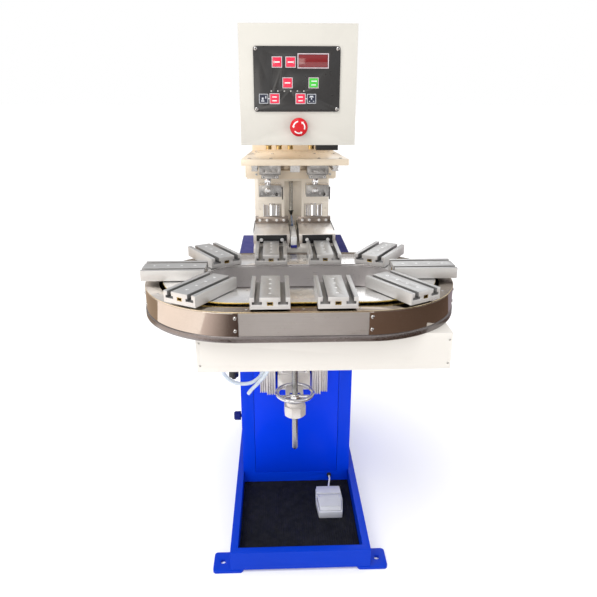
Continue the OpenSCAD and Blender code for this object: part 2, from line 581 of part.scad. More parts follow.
module estop_collar() color([0.15, 0.15, 0.16]) translate([es[0], cb_f, es[1]]) rotate([90, 0, 0]) difference() {
    union() { cylinder(r = 16, h = 6); translate([0, 0, -20]) cylinder(r = 10.9, h = 20); }
    translate([0, 0, -21]) cylinder(r = 7.05, h = 40);
}
module estop_button() color([0.85, 0.08, 0.12]) translate([es[0], cb_f, es[1]]) rotate([90, 0, 0]) {
    translate([0, 0, -14]) cylinder(r = 7, h = 28);
    translate([0, 0, 11]) cylinder(r1 = estop_d / 2 - 3, r2 = estop_d / 2, h = 5);
    translate([0, 0, 16]) cylinder(r = estop_d / 2, h = 7);
    translate([0, 0, 23]) cylinder(r1 = estop_d / 2, r2 = estop_d / 2 - 5, h = 5);
}

module cable_glands() color([0.8, 0.62, 0.25]) {
    for (x = [-68, -43, -16, 35]) translate([x, -72, 0]) {
        translate([0, 0, cb_z - 8]) cylinder(r = 9, h = 8, $fn = 6);
        translate([0, 0, cb_z - 17]) cylinder(r = 7, h = 9);
    }
    blk([46, -88, cb_z - 18], [99, -56, cb_z]);
    // grommet of the foot switch lead
    translate([100, col_f + 4, 44]) rotate([90, 0, 0]) cylinder(r = 4.9, h = 12);
    translate([100, col_f - 0.01, 44]) rotate([90, 0, 0]) cylinder(r = 6.5, h = 4);
}

base_frame();
foot_mat();
column_shell();
column_front_panel();
air_filter();
lift_rails();
lift_bracket();
union() { footswitch_base(); color([0.6, 0.6, 0.62]) footswitch_pin(); }
footswitch_cord();
head_base();
head_frame();
cliche_trays();
clamp_strips();
carriage_rails();
top_plate();
box_bracket();
control_box();
control_panel();
estop_collar();
cable_glands();
rear_door();
side_latch();
handwheel();
handwheel_nut();
lift_carriage();
lift_screw();
drive_box();
base_plate();
skirt_panels();
skirt_bands();
pit_wall();
outer_ring();
inner_plate();
skirt_screws();
conveyor_chain();
drive_motor();
air_hose();
drive_sprocket();
place_jig(1);  // jig_01
place_jig(2);  // jig_02
place_jig(3);  // jig_03
place_jig(4);  // jig_04
place_jig(5);  // jig_05
place_jig(6);  // jig_06
place_jig(7);  // jig_07
place_jig(8);  // jig_08
place_jig(9);  // jig_09
place_jig(10);  // jig_10
footswitch_pedal();
estop_button();
key(1);  // key_1
key(2);  // key_2
key(3);  // key_3
key(4);  // key_4
key(5);  // key_5
key(6);  // key_6
head_carriage();
ink_cups();
pad_slide(-1);  // pad_slide_left
pad_slide(1);  // pad_slide_right
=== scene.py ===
import json
import math
import bpy
import bmesh
import numpy as np
from mathutils import Vector, Matrix

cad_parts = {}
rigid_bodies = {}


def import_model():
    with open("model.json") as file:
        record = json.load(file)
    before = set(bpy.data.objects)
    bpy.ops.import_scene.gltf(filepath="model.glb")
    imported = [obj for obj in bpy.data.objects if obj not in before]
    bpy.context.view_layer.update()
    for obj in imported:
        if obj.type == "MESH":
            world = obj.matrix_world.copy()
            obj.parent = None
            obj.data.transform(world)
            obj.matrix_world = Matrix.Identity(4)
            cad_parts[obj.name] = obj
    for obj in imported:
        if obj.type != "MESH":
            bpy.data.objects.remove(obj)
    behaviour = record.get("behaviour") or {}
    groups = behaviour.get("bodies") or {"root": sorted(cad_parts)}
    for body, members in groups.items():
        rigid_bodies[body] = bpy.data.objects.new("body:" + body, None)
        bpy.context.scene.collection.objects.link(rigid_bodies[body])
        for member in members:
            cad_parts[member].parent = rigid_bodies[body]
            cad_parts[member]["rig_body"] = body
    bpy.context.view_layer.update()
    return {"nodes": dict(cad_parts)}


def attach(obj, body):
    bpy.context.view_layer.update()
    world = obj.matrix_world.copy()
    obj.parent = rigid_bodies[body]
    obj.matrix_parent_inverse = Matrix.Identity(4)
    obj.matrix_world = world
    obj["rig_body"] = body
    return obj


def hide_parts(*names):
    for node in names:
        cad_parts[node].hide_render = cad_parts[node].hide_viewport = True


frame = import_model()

NODES = frame["nodes"]
MM = 0.001
scene = bpy.context.scene


# ---------------------------------------------------------------- camera
def make_camera():
    f, th, yaw, roll = 575.88, 0.3432, 0.0389, 0.0016
    fwd = Vector((math.sin(yaw) * math.cos(th), math.cos(yaw) * math.cos(th), -math.sin(th)))
    right = Vector((math.cos(yaw), -math.sin(yaw), 0.0))
    up = right.cross(fwd)
    r2 = math.cos(roll) * right + math.sin(roll) * up
    u2 = -math.sin(roll) * right + math.cos(roll) * up
    cam = bpy.data.cameras.new("camera")
    cam.sensor_width = 36.0
    cam.lens = 36.0 * f / 597.0
    cam.clip_end = 60.0
    ob = bpy.data.objects.new("camera", cam)
    m = Matrix((r2, u2, -fwd)).transposed().to_4x4()
    m.translation = Vector((-0.0513, -1.5154, 1.1453))
    ob.matrix_world = m
    scene.collection.objects.link(ob)
    scene.camera = ob


make_camera()


# ---------------------------------------------------------------- node-graph helper
class Mat:
    """A procedural material. Coordinates are the object's own, in metres."""

    def __init__(self, name, color=(0.5, 0.5, 0.5), rough=0.4, metal=0.0, **sockets):
        self.m = bpy.data.materials.new(name)
        self.m.use_nodes = True
        self.nt = self.m.node_tree
        self.nt.nodes.clear()
        self.out = self.add("ShaderNodeOutputMaterial")
        self.b = self.add("ShaderNodeBsdfPrincipled")
        self.nt.links.new(self.b.outputs[0], self.out.inputs["Surface"])
        self.tc = self.add("ShaderNodeTexCoord")
        self.obj = self.tc.outputs["Object"]
        self.b.inputs["Base Color"].default_value = (*color, 1)
        self.b.inputs["Roughness"].default_value = rough
        self.b.inputs["Metallic"].default_value = metal
        for k, v in sockets.items():
            self.b.inputs[k.replace("_", " ")].default_value = v

    def add(self, kind, **attrs):
        n = self.nt.nodes.new(kind)
        for k, v in attrs.items():
            setattr(n, k, v)
        return n

    def put(self, sock, v):
        if isinstance(v, bpy.types.NodeSocket):
            self.nt.links.new(v, sock)
        elif isinstance(v, (tuple, list)):
            sock.default_value = (*v, 1) if (len(v) == 3 and sock.type == "RGBA") else v
        else:
            sock.default_value = v

    def map(self, scale=(1, 1, 1), rot=(0, 0, 0), loc=(0, 0, 0), vec=None):
        n = self.add("ShaderNodeMapping")
        self.put(n.inputs["Vector"], vec or self.obj)
        n.inputs["Scale"].default_value = scale
        n.inputs["Rotation"].default_value = rot
        n.inputs["Location"].default_value = loc
        return n.outputs[0]

    def noise(self, scale, detail=3, rough=0.55, vec=None, dist=0.0):
        n = self.add("ShaderNodeTexNoise")
        self.put(n.inputs["Vector"], vec or self.obj)
        n.inputs["Scale"].default_value = scale
        n.inputs["Detail"].default_value = detail
        n.inputs["Roughness"].default_value = rough
        n.inputs["Distortion"].default_value = dist
        return n.outputs["Fac"]

    def voronoi(self, scale, vec=None, feature="F1", rand=1.0):
        n = self.add("ShaderNodeTexVoronoi", feature=feature)
        self.put(n.inputs["Vector"], vec or self.obj)
        n.inputs["Scale"].default_value = scale
        n.inputs["Randomness"].default_value = rand
        return n.outputs["Distance"]

    def wave(self, scale, vec=None, direction="X", dist=0.0, profile="SIN", detail=2, dscale=1.0):
        n = self.add("ShaderNodeTexWave", wave_type="BANDS", bands_direction=direction, wave_profile=profile)
        self.put(n.inputs["Vector"], vec or self.obj)
        n.inputs["Scale"].default_value = scale
        n.inputs["Distortion"].default_value = dist
        n.inputs["Detail"].default_value = detail
        n.inputs["Detail Scale"].default_value = dscale
        return n.outputs["Fac"]

    def ramp(self, fac, stops, mode="LINEAR"):
        n = self.add("ShaderNodeValToRGB")
        n.color_ramp.interpolation = mode
        els = n.color_ramp.elements
        while len(els) < len(stops):
            els.new(0.5)
        for e, (p, c) in zip(els, stops):
            e.position = p
            e.color = (*c, 1) if isinstance(c, (tuple, list)) else (c, c, c, 1)
        self.put(n.inputs[0], fac)
        return n.outputs["Color"]

    def rng(self, v, a, b, c, d):
        n = self.add("ShaderNodeMapRange")
        n.clamp = True
        self.put(n.inputs["Value"], v)
        for k, x in zip(("From Min", "From Max", "To Min", "To Max"), (a, b, c, d)):
            self.put(n.inputs[k], x)
        return n.outputs[0]

    def math(self, op, a, b=0.0, clamp=False):
        n = self.add("ShaderNodeMath", operation=op, use_clamp=clamp)
        self.put(n.inputs[0], a)
        self.put(n.inputs[1], b)
        return n.outputs[0]

    def mix(self, fac, a, b, mode="MIX"):
        n = self.add("ShaderNodeMix", data_type="RGBA", blend_type=mode)
        n.clamp_factor = True
        self.put(n.inputs[0], fac)
        self.put(n.inputs[6], a)
        self.put(n.inputs[7], b)
        return n.outputs[2]

    def sep(self, vec=None):
        n = self.add("ShaderNodeSeparateXYZ")
        self.put(n.inputs[0], vec or self.obj)
        return n.outputs

    def bump(self, h, strength=0.2, dist=0.001, normal=None):
        n = self.add("ShaderNodeBump")
        n.inputs["Strength"].default_value = strength
        n.inputs["Distance"].default_value = dist
        self.put(n.inputs["Height"], h)
        if normal is not None:
            self.put(n.inputs["Normal"], normal)
        return n.outputs[0]

    def set(self, **kw):
        for k, v in kw.items():
            self.put(self.b.inputs[k.replace("_", " ")], v)
        return self


# ---------------------------------------------------------------- materials
M = {}


def painted(name, color, rough=0.28, coat=0.5, peel=0.05, vary=0.06, dust=0.0, scuff=0.12):
    """Powder coat: orange peel, slow colour drift, small scuffs that catch the light, a little dust on top faces."""
    t = Mat(name, color, rough)
    drift = t.noise(3.1, 4)
    base = t.mix(t.rng(drift, 0.3, 0.7, 0, 1), tuple(c * (1 - vary) for c in color), tuple(min(1, c * (1 + vary)) for c in color))
    grime = t.noise(9, 6, 0.65, dist=0.6)
    base = t.mix(t.rng(grime, 0.58, 0.80, 0, 0.22), base, tuple(c * 0.72 for c in color))
    scr = t.noise(1.0, 2, 0.5, vec=t.map((28, 28, 420), rot=(0.3, 0.5, 0.2)))
    marks = t.rng(scr, 0.70, 0.76, 0, scuff)
    base = t.mix(marks, base, tuple(min(1, c * 1.25 + 0.04) for c in color))
    if dust:
        geo = t.add("ShaderNodeNewGeometry")
        up = t.sep(geo.outputs["Normal"])[2]
        d = t.math("MULTIPLY", t.rng(up, 0.6, 1.0, 0, dust), t.rng(t.noise(60, 5), 0.35, 0.7, 0.1, 1))
        base = t.mix(d, base, (0.5, 0.48, 0.45))
    t.set(Base_Color=base)
    t.set(Roughness=t.rng(t.noise(22, 5, 0.6), 0.3, 0.7, rough * 0.8, rough * 1.3))
    h = t.noise(620, 2, 0.5)
    t.set(Normal=t.bump(h, peel, 0.0004))
    t.b.inputs["Coat Weight"].default_value = coat
    t.b.inputs["Coat Roughness"].default_value = 0.12
    M[name] = t.m
    return t


def metal(name, color, rough=0.25, axis=None, streak=0.25, bump=0.03, vary=0.08, smudge=0.3, fine=900, aniso=0.0, tint=None, coarse=16):
    """Bare metal. axis is the brushing direction; smudges and fine lines vary the roughness."""
    t = Mat(name, color, rough, 1.0)
    if axis is None:
        lines = t.noise(fine * 0.6, 3, 0.6)
    else:
        s = [fine, fine, fine]
        s["XYZ".index(axis)] = fine * 0.012
        lines = t.noise(1.0, 3, 0.6, vec=t.map(tuple(s)))
    blot = t.noise(coarse, 5, 0.6, dist=0.4)
    c = t.mix(t.rng(blot, 0.3, 0.72, 0, 1), tuple(x * (1 - vary) for x in color), tuple(min(1, x * (1 + vary * 0.5)) for x in color))
    if tint:
        c = t.mix(t.rng(t.noise(7, 3), 0.42, 0.7, 0, 0.5), c, tint)
    c = t.mix(t.rng(lines, 0.35, 0.7, 0, streak * 0.5), c, tuple(x * 0.72 for x in color))
    t.set(Base_Color=c)
    r = t.rng(lines, 0.3, 0.7, rough * (1 - streak), rough * (1 + streak))
    sm = t.rng(t.noise(38, 6, 0.7, dist=1.2), 0.5, 0.68, 0, smudge * 0.25)
    t.set(Roughness=t.math("ADD", r, sm, clamp=True))
    t.set(Normal=t.bump(lines, bump, 0.0002))
    if aniso:
        t.b.inputs["Anisotropic"].default_value = aniso
    M[name] = t.m
    return t


def plastic(name, color, rough=0.4, grain=0.08, gscale=900, coat=0.0, vary=0.08, dust=0.0, sss=0.0):
    t = Mat(name, color, rough)
    base = t.mix(t.rng(t.noise(14, 5), 0.3, 0.7, 0, 1), tuple(c * (1 - vary) for c in color), tuple(min(1, c * (1 + vary)) for c in color))
    if dust:
        base = t.mix(t.rng(t.noise(190, 4, 0.7), 0.56, 0.78, 0, dust), base, (0.42, 0.42, 0.41))
    t.set(Base_Color=base)
    t.set(Roughness=t.rng(t.noise(30, 5), 0.3, 0.7, rough * 0.85, min(1, rough * 1.2)))
    t.set(Normal=t.bump(t.noise(gscale, 2), grain, 0.0003))
    if coat:
        t.b.inputs["Coat Weight"].default_value = coat
        t.b.inputs["Coat Roughness"].default_value = 0.08
    if sss:
        t.b.inputs["Subsurface Weight"].default_value = sss
        t.b.inputs["Subsurface Radius"].default_value = (0.004, 0.004, 0.005)
    M[name] = t.m
    return t


for nm, col in (("blue", (0.0004, 0.050, 0.80)), ("blue_panel", (0.0003, 0.050, 0.90)), ("blue_base", (0.0004, 0.040, 0.52))):
    t = painted(nm, col, 0.34, 0.03, 0.045, vary=0.05, scuff=0.02)
    t.b.inputs["Specular IOR Level"].default_value = 0.12
painted("ivory", (0.80, 0.765, 0.715), 0.36, 0.2, 0.05, vary=0.025, dust=0.05, scuff=0.05)
painted("ivory_box", (0.69, 0.665, 0.605), 0.38, 0.15, 0.09, vary=0.02, scuff=0.03)
painted("beige", (0.95, 0.81, 0.63), 0.30, 0.3, 0.03, vary=0.04, scuff=0.10)
painted("dark_paint", (0.03, 0.03, 0.033), 0.35, 0.2, 0.06)
metal("jig_alu", (0.60, 0.60, 0.595), 0.42, None, 0.25, 0.10, 0.08, smudge=0.08).b.inputs["Metallic"].default_value = 0.75
metal("alu", (0.70, 0.685, 0.665), 0.30, None, 0.3, 0.04)
metal("alu_z", (0.84, 0.80, 0.775), 0.32, "Z", 0.35, 0.05).b.inputs["Metallic"].default_value = 0.6
metal("alu_x", (0.62, 0.60, 0.585), 0.36, "X", 0.30, 0.05, 0.05)
metal("plate_edge", (0.30, 0.275, 0.272), 0.30, "X", 0.4, 0.06, 0.12)
metal("stainless", (0.68, 0.645, 0.61), 0.16, "Y", 0.45, 0.03)
metal("stainless_x", (0.60, 0.57, 0.55), 0.14, "X", 0.45, 0.03, tint=(0.5, 0.45, 0.42))
metal("mirror", (0.64, 0.60, 0.56), 0.055, "X", 0.5, 0.008, smudge=0.35, vary=0.05)
t = metal("ring", (0.58, 0.50, 0.40), 0.20, None, 0.4, 0.03, 0.15)
# painted reflection: straw at the left, brown along the front, standing in for the light and dark surroundings the ring
# reflects
c = t.ramp(t.rng(t.sep()[0], -0.346, 0.346, 0, 1), [(0.0, (0.93, 0.89, 0.85)), (0.22, (0.72, 0.64, 0.54)), (0.36, (0.26, 0.19, 0.145)), (0.62, (0.24, 0.175, 0.135)), (0.72, (0.42, 0.36, 0.30)), (1.0, (0.34, 0.29, 0.25))])
t.set(Base_Color=t.mix(t.rng(t.noise(16, 5, 0.6, dist=0.4), 0.3, 0.72, 0, 0.35), c, (0.50, 0.43, 0.35)))
metal("bright", (0.88, 0.87, 0.86), 0.24, "X", 0.12, 0.008, 0.04, smudge=0.15).b.inputs["Metallic"].default_value = 0.8
metal("chrome", (0.82, 0.82, 0.83), 0.06, None, 0.4, 0.01, 0.03, smudge=0.25)
metal("steel", (0.58, 0.565, 0.55), 0.24, None, 0.35, 0.05, 0.12)
metal("dark_steel", (0.16, 0.155, 0.15), 0.34, None, 0.35, 0.08, 0.2)
metal("chain", (0.20, 0.19, 0.18), 0.30, None, 0.4, 0.06, 0.25)
metal("brass", (0.80, 0.58, 0.24), 0.20, None, 0.3, 0.03, 0.10)
metal("gold", (0.85, 0.62, 0.20), 0.25, None, 0.3, 0.03, 0.10)
metal("screw", (0.70, 0.69, 0.68), 0.18, None, 0.3, 0.02, 0.06)
# painted reflection and shade: the column's top faces take a duller blue, greyish and lighter at the left, dark navy at
# the right
t = painted("blue_top_painted_light", (0.06, 0.06, 0.22), 0.5, 0.0, 0.045, vary=0.05, scuff=0.0)
t.b.inputs["Specular IOR Level"].default_value = 0.05
t.set(Base_Color=t.mix(t.rng(t.sep()[0], -0.10, 0.10, 0, 1), (0.060, 0.062, 0.22), (0.018, 0.018, 0.15)))
# painted shade: a darker copy of the jig metal for the undercut faces of the jigs' T-slots
metal("slot_painted_shade", (0.36, 0.355, 0.35), 0.42, "Y", 0.3, 0.05, 0.12).b.inputs["Metallic"].default_value = 0.7
# painted light: a lighter copy of the jig metal for the jigs' side faces
metal("jig_side", (0.74, 0.725, 0.705), 0.40, None, 0.25, 0.05, 0.05).b.inputs["Metallic"].default_value = 0.55
metal("pit_steel", (0.80, 0.775, 0.765), 0.30, "X", 0.10, 0.008, 0.05).b.inputs["Metallic"].default_value = 0.7
metal("screw_bright", (0.90, 0.90, 0.90), 0.30, None, 0.2, 0.02, 0.03).b.inputs["Metallic"].default_value = 0.5
plastic("strip_black", (0.010, 0.010, 0.011), 0.60, 0.06)
metal("bar_brown", (0.36, 0.31, 0.275), 0.30, "X", 0.2, 0.02, 0.10)
metal("tray_steel", (0.86, 0.815, 0.77), 0.30, "Y", 0.10, 0.010, 0.05).b.inputs["Metallic"].default_value = 0.6
# painted light: a brighter, warmer copy of the ivory for the head frame and the carriage
painted("ivory_warm_painted_light", (0.93, 0.855, 0.745), 0.36, 0.2, 0.05, vary=0.025, scuff=0.05)
painted("rubber_dark", (0.004, 0.005, 0.010), 0.8, 0.0, 0.3, vary=0.2, scuff=0.0, dust=0.02).b.inputs["Specular IOR Level"].default_value = 0.25
metal("mottled", (0.50, 0.49, 0.48), 0.34, None, 0.4, 0.10, 0.30, coarse=60)
# painted highlight: golden and yellow colours on rounded edges stand in for the bright glints along the outer ring's
# and the inner plate's edges
metal("edge_gold_painted_highlight", (0.98, 0.80, 0.50), 0.22, None, 0.2, 0.01, 0.05)
metal("edge_yellow_painted_highlight", (0.98, 0.74, 0.22), 0.25, None, 0.2, 0.01, 0.08)
metal("rod_grey", (0.40, 0.395, 0.37), 0.22, "Z", 0.4, 0.03, 0.1)
metal("rod", (0.42, 0.42, 0.41), 0.24, "Z", 0.4, 0.03, 0.08)
metal("cast_light", (0.84, 0.81, 0.78), 0.38, None, 0.35, 0.12, 0.08, coarse=40).b.inputs["Metallic"].default_value = 0.6
plastic("led", (0.55, 0.55, 0.52), 0.15, 0.01, coat=0.8)
plastic("print", (0.74, 0.62, 0.66), 0.40, 0.02)
plastic("print_grey", (0.62, 0.64, 0.68), 0.40, 0.02)
plastic("icon", (0.018, 0.024, 0.05), 0.30, 0.03, coat=0.2)
plastic("collar_grey", (0.42, 0.42, 0.42), 0.35, 0.05)
plastic("blue_tube", (0.16, 0.24, 0.42), 0.20, 0.02, coat=0.6, sss=0.2)
plastic("black", (0.018, 0.018, 0.019), 0.42, 0.10, dust=0.06)
plastic("gloss_black", (0.012, 0.012, 0.013), 0.18, 0.02, coat=0.5)
plastic("rubber", (0.017, 0.018, 0.022), 0.72, 0.35, 420, dust=0.30)
plastic("switch_grey", (0.60, 0.61, 0.64), 0.45, 0.12, 700)
plastic("white_cord", (0.80, 0.80, 0.79), 0.38, 0.04, coat=0.2)
plastic("hose", (0.72, 0.80, 0.90), 0.22, 0.02, coat=0.6, sss=0.35)
plastic("knob_blue", (0.003, 0.010, 0.16), 0.45, 0.06, coat=0.05).b.inputs["Specular IOR Level"].default_value = 0.2
plastic("red", (0.62, 0.006, 0.014), 0.34, 0.03, coat=0.12).b.inputs["Specular IOR Level"].default_value = 0.3
plastic("red_key", (0.86, 0.018, 0.07), 0.30, 0.03, coat=0.3)
plastic("green_key", (0.06, 0.62, 0.05), 0.30, 0.03, coat=0.3)
plastic("white", (0.84, 0.84, 0.84), 0.40, 0.03)
plastic("display", (0.20, 0.006, 0.010), 0.12, 0.01, coat=0.8)
plastic("blue_tip", (0.03, 0.04, 0.32), 0.35, 0.05, coat=0.2)
plastic("panel", (0.026, 0.025, 0.025), 0.30, 0.10, 1400, coat=0.15, dust=0.03)


# ---------------------------------------------------------------- mesh helpers
def link(o):
    scene.collection.objects.link(o)
    return o


def shade(me, angle=32):
    """Smooth faces with sharp edges where the surface turns more than angle."""
    bm = bmesh.new()
    bm.from_mesh(me)
    for f in bm.faces:
        f.smooth = True
    lim = math.radians(angle)
    for e in bm.edges:
        e.smooth = not (len(e.link_faces) != 2 or e.calc_face_angle(0.0) > lim)
    bm.to_mesh(me)
    bm.free()


def piece(name, bm, mat, body, replaces=(), angle=32, dedupe=True):
    """bmesh to a finished piece that rides on a CAD body."""
    if dedupe:
        bmesh.ops.remove_doubles(bm, verts=bm.verts, dist=2e-6)
    bmesh.ops.recalc_face_normals(bm, faces=bm.faces)
    me = bpy.data.meshes.new(name)
    bm.to_mesh(me)
    bm.free()
    for m in (mat if isinstance(mat, (list, tuple)) else [mat]):
        me.materials.append(m)
    shade(me, angle)
    o = link(bpy.data.objects.new(name, me))
    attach(o, body)
    if replaces:
        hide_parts(*replaces)
    return o


def xf(v, m):
    return [m @ Vector(p) for p in v]


def add_faces(bm, verts, faces, m=None, mi=0):
    vs = [bm.verts.new(m @ Vector(v) if m is not None else v) for v in verts]
    out = []
    for f in faces:
        try:
            nf = bm.faces.new([vs[i] for i in f])
            nf.material_index = mi
            out.append(nf)
        except ValueError:
            pass
    return out


def rbox(bm, lo, hi, r=0.001, seg=2, m=None, mi=0):
    """Box with rounded edges, given by its corners in metres."""
    b = bmesh.new()
    bmesh.ops.create_cube(b, size=1.0)
    lo, hi = Vector(lo), Vector(hi)
    for v in b.verts:
        v.co = Vector(((lo[i] + hi[i]) / 2 + v.co[i] * (hi[i] - lo[i]) for i in range(3)))
    r = min(r, 0.49 * min(hi[i] - lo[i] for i in range(3)))
    if r > 0:
        bmesh.ops.bevel(b, geom=b.edges[:], offset=r, segments=seg, profile=0.5, affect="EDGES", clamp_overlap=True)
    merge(bm, b, m, mi)


def merge(bm, b, m=None, mi=0):
    """Adds b's geometry to bm and frees b."""
    b.verts.index_update()
    vs = [bm.verts.new(m @ v.co if m is not None else v.co) for v in b.verts]
    for f in b.faces:
        try:
            nf = bm.faces.new([vs[v.index] for v in f.verts])
            nf.material_index = mi
        except ValueError:
            pass
    b.free()


def lathe(bm, prof, n=48, m=None, mi=0, start=0.0, close=True):
    """Turns a profile of (radius, height) about Z. Radius 0 ends close to a point."""
    rings = []
    for r, z in prof:
        if r < 1e-7:
            p = Vector((0, 0, z))
            rings.append([bm.verts.new(m @ p if m is not None else p)])
        else:
            row = []
            for k in range(n):
                a = start + 2 * math.pi * k / n
                p = Vector((r * math.cos(a), r * math.sin(a), z))
                row.append(bm.verts.new(m @ p if m is not None else p))
            rings.append(row)
    for a, b in zip(rings, rings[1:]):
        for k in range(n):
            j = (k + 1) % n
            if len(a) == 1 and len(b) == 1:
                continue
            if len(a) == 1:
                f = bm.faces.new((a[0], b[j], b[k]))
            elif len(b) == 1:
                f = bm.faces.new((a[k], a[j], b[0]))
            else:
                f = bm.faces.new((a[k], a[j], b[j], b[k]))
            f.material_index = mi
    if close and len(rings[0]) > 1 and len(rings[-1]) > 1 and rings[0] is not rings[-1]:
        if prof[0] != prof[-1]:
            pass
    return rings


def frame_at(pos, z_dir, x_hint=(1, 0, 0)):
    """Matrix with its Z along z_dir at pos."""
    z = Vector(z_dir).normalized()
    x = Vector(x_hint)
    if abs(x.dot(z)) > 0.95:
        x = Vector((0, 1, 0))
    x = (x - z * x.dot(z)).normalized()
    y = z.cross(x)
    m = Matrix((x, y, z)).transposed().to_4x4()
    m.translation = Vector(pos)
    return m


def cap_screw(bm, pos, d, direction, head=1.0, sock=True, mi=0, mi_dark=None, h=None, n=28):
    """Socket or button head screw: knurl-free cap with a chamfer and a hexagon socket. d is the head diameter."""
    r = d / 2
    h = h or d * 0.5
    m = frame_at(pos, direction)
    c = r * 0.14
    prof = [(r * 0.96, 0.0), (r, c * 0.5), (r, h - c), (r - c, h)]
    if sock:
        s = r * 0.52
        lathe(bm, prof + [(s * 1.08, h), (s, h - c * 0.6)], n, m, mi)
        k = 6
        top = [m @ Vector((s * math.cos(math.pi / 3 * i), s * math.sin(math.pi / 3 * i), h - c * 0.6)) for i in range(k)]
        bot = [m @ Vector((s * 0.96 * math.cos(math.pi / 3 * i), s * 0.96 * math.sin(math.pi / 3 * i), h * 0.35)) for i in range(k)]
        tv = [bm.verts.new(p) for p in top]
        bv = [bm.verts.new(p) for p in bot]
        for i in range(k):
            f = bm.faces.new((tv[i], tv[(i + 1) % k], bv[(i + 1) % k], bv[i]))
            f.material_index = mi if mi_dark is None else mi_dark
        f = bm.faces.new(bv)
        f.material_index = mi if mi_dark is None else mi_dark
        # points of a ring between the round mouth and the hexagon; they are not used
        ring = [m @ Vector((s * math.cos(2 * math.pi * i / n), s * math.sin(2 * math.pi * i / n), h - c * 0.6)) for i in range(n)]
    else:
        lathe(bm, prof + [(0, h)], n, m, mi)


def dome_screw(bm, pos, d, direction, mi=0, mi_dark=1, h=None, n=24, cross=True):
    """Pan head screw with a cross recess."""
    r = d / 2
    h = h or d * 0.34
    m = frame_at(pos, direction)
    prof = [(r, 0.0), (r, h * 0.25)]
    for i in range(1, 6):
        a = i / 6 * math.pi / 2
        prof.append((r * math.cos(a) ** 0.8, h * 0.25 + h * 0.75 * math.sin(a)))
    lathe(bm, prof + [(0, h)], n, m, mi)
    if cross:
        for ang in (0.4, 0.4 + math.pi / 2):
            rot = m @ Matrix.Rotation(ang, 4, "Z")
            w, l = r * 0.13, r * 0.55
            z = h * 1.01
            add_faces(bm, [(-l, -w, z), (l, -w, z), (l, w, z), (-l, w, z), (-l, -w, h * 0.7), (l, -w, h * 0.7), (l, w, h * 0.7), (-l, w, h * 0.7)],
                      [(0, 1, 2, 3), (4, 7, 6, 5), (0, 4, 5, 1), (1, 5, 6, 2), (2, 6, 7, 3), (3, 7, 4, 0)], rot, mi_dark)


def hexhead(bm, pos, af, h, direction, mi=0, spin=0.0):
    """Hexagon head or nut with chamfered corners. af is across flats."""
    m = frame_at(pos, direction) @ Matrix.Rotation(spin, 4, "Z")
    rc = af / math.sqrt(3)
    b = bmesh.new()
    n = 48
    lo, mid, hi = [], [], []
    for k in range(n):
        a = 2 * math.pi * k / n
        sec = (a % (math.pi / 3)) - math.pi / 6
        r = (af / 2) / math.cos(sec)
        drop = (r - af / 2) * 0.58
        lo.append(b.verts.new((r * math.cos(a), r * math.sin(a), 0)))
        mid.append(b.verts.new((r * math.cos(a), r * math.sin(a), h - drop)))
        rr = af / 2 * 0.96
        hi.append(b.verts.new((rr * math.cos(a), rr * math.sin(a), h)))
    for k in range(n):
        j = (k + 1) % n
        b.faces.new((lo[k], lo[j], mid[j], mid[k]))
        b.faces.new((mid[k], mid[j], hi[j], hi[k]))
    b.faces.new(hi)
    b.faces.new(lo[::-1])
    merge(bm, b, m, mi)


def tube(bm, pts, r, n=16, mi=0, caps=True, up=(0, 0, 1)):
    """Round tube along points."""
    P = [Vector(p) for p in pts]
    rings = []
    last = None
    for i, p in enumerate(P):
        t = (P[min(i + 1, len(P) - 1)] - P[max(i - 1, 0)]).normalized()
        if last is None:
            a = t.cross(Vector(up))
            if a.length < 1e-4:
                a = t.cross(Vector((1, 0, 0)))
            a.normalize()
        else:
            a = (last - t * last.dot(t)).normalized()
        last = a
        b = t.cross(a)
        rr = r[i] if isinstance(r, (list, tuple)) else r
        rings.append([bm.verts.new(p + rr * (math.cos(2 * math.pi * k / n) * a + math.sin(2 * math.pi * k / n) * b)) for k in range(n)])
    for u, v in zip(rings, rings[1:]):
        for k in range(n):
            f = bm.faces.new((u[k], u[(k + 1) % n], v[(k + 1) % n], v[k]))
            f.material_index = mi
    if caps:
        bm.faces.new(rings[0][::-1]).material_index = mi
        bm.faces.new(rings[-1]).material_index = mi


def catmull(pts, n):
    P = [Vector(p) for p in pts]
    out = []
    for i in range(len(P) - 1):
        p0, p1, p2, p3 = P[max(i - 1, 0)], P[i], P[i + 1], P[min(i + 2, len(P) - 1)]
        for k in range(n):
            t = k / n
            out.append(0.5 * ((2 * p1) + (p2 - p0) * t + (2 * p0 - 5 * p1 + 4 * p2 - p3) * t * t + (3 * p1 - p0 - 3 * p2 + p3) * t ** 3))
    out.append(P[-1])
    return out


def cad_bmesh(node):
    """The CAD node's mesh with its flat faces joined up again."""
    bm = bmesh.new()
    bm.from_mesh(NODES[node].data)
    bmesh.ops.remove_doubles(bm, verts=bm.verts, dist=1e-5)
    bmesh.ops.dissolve_limit(bm, angle_limit=math.radians(0.6), verts=bm.verts, edges=bm.edges, delimit=set())
    return bm


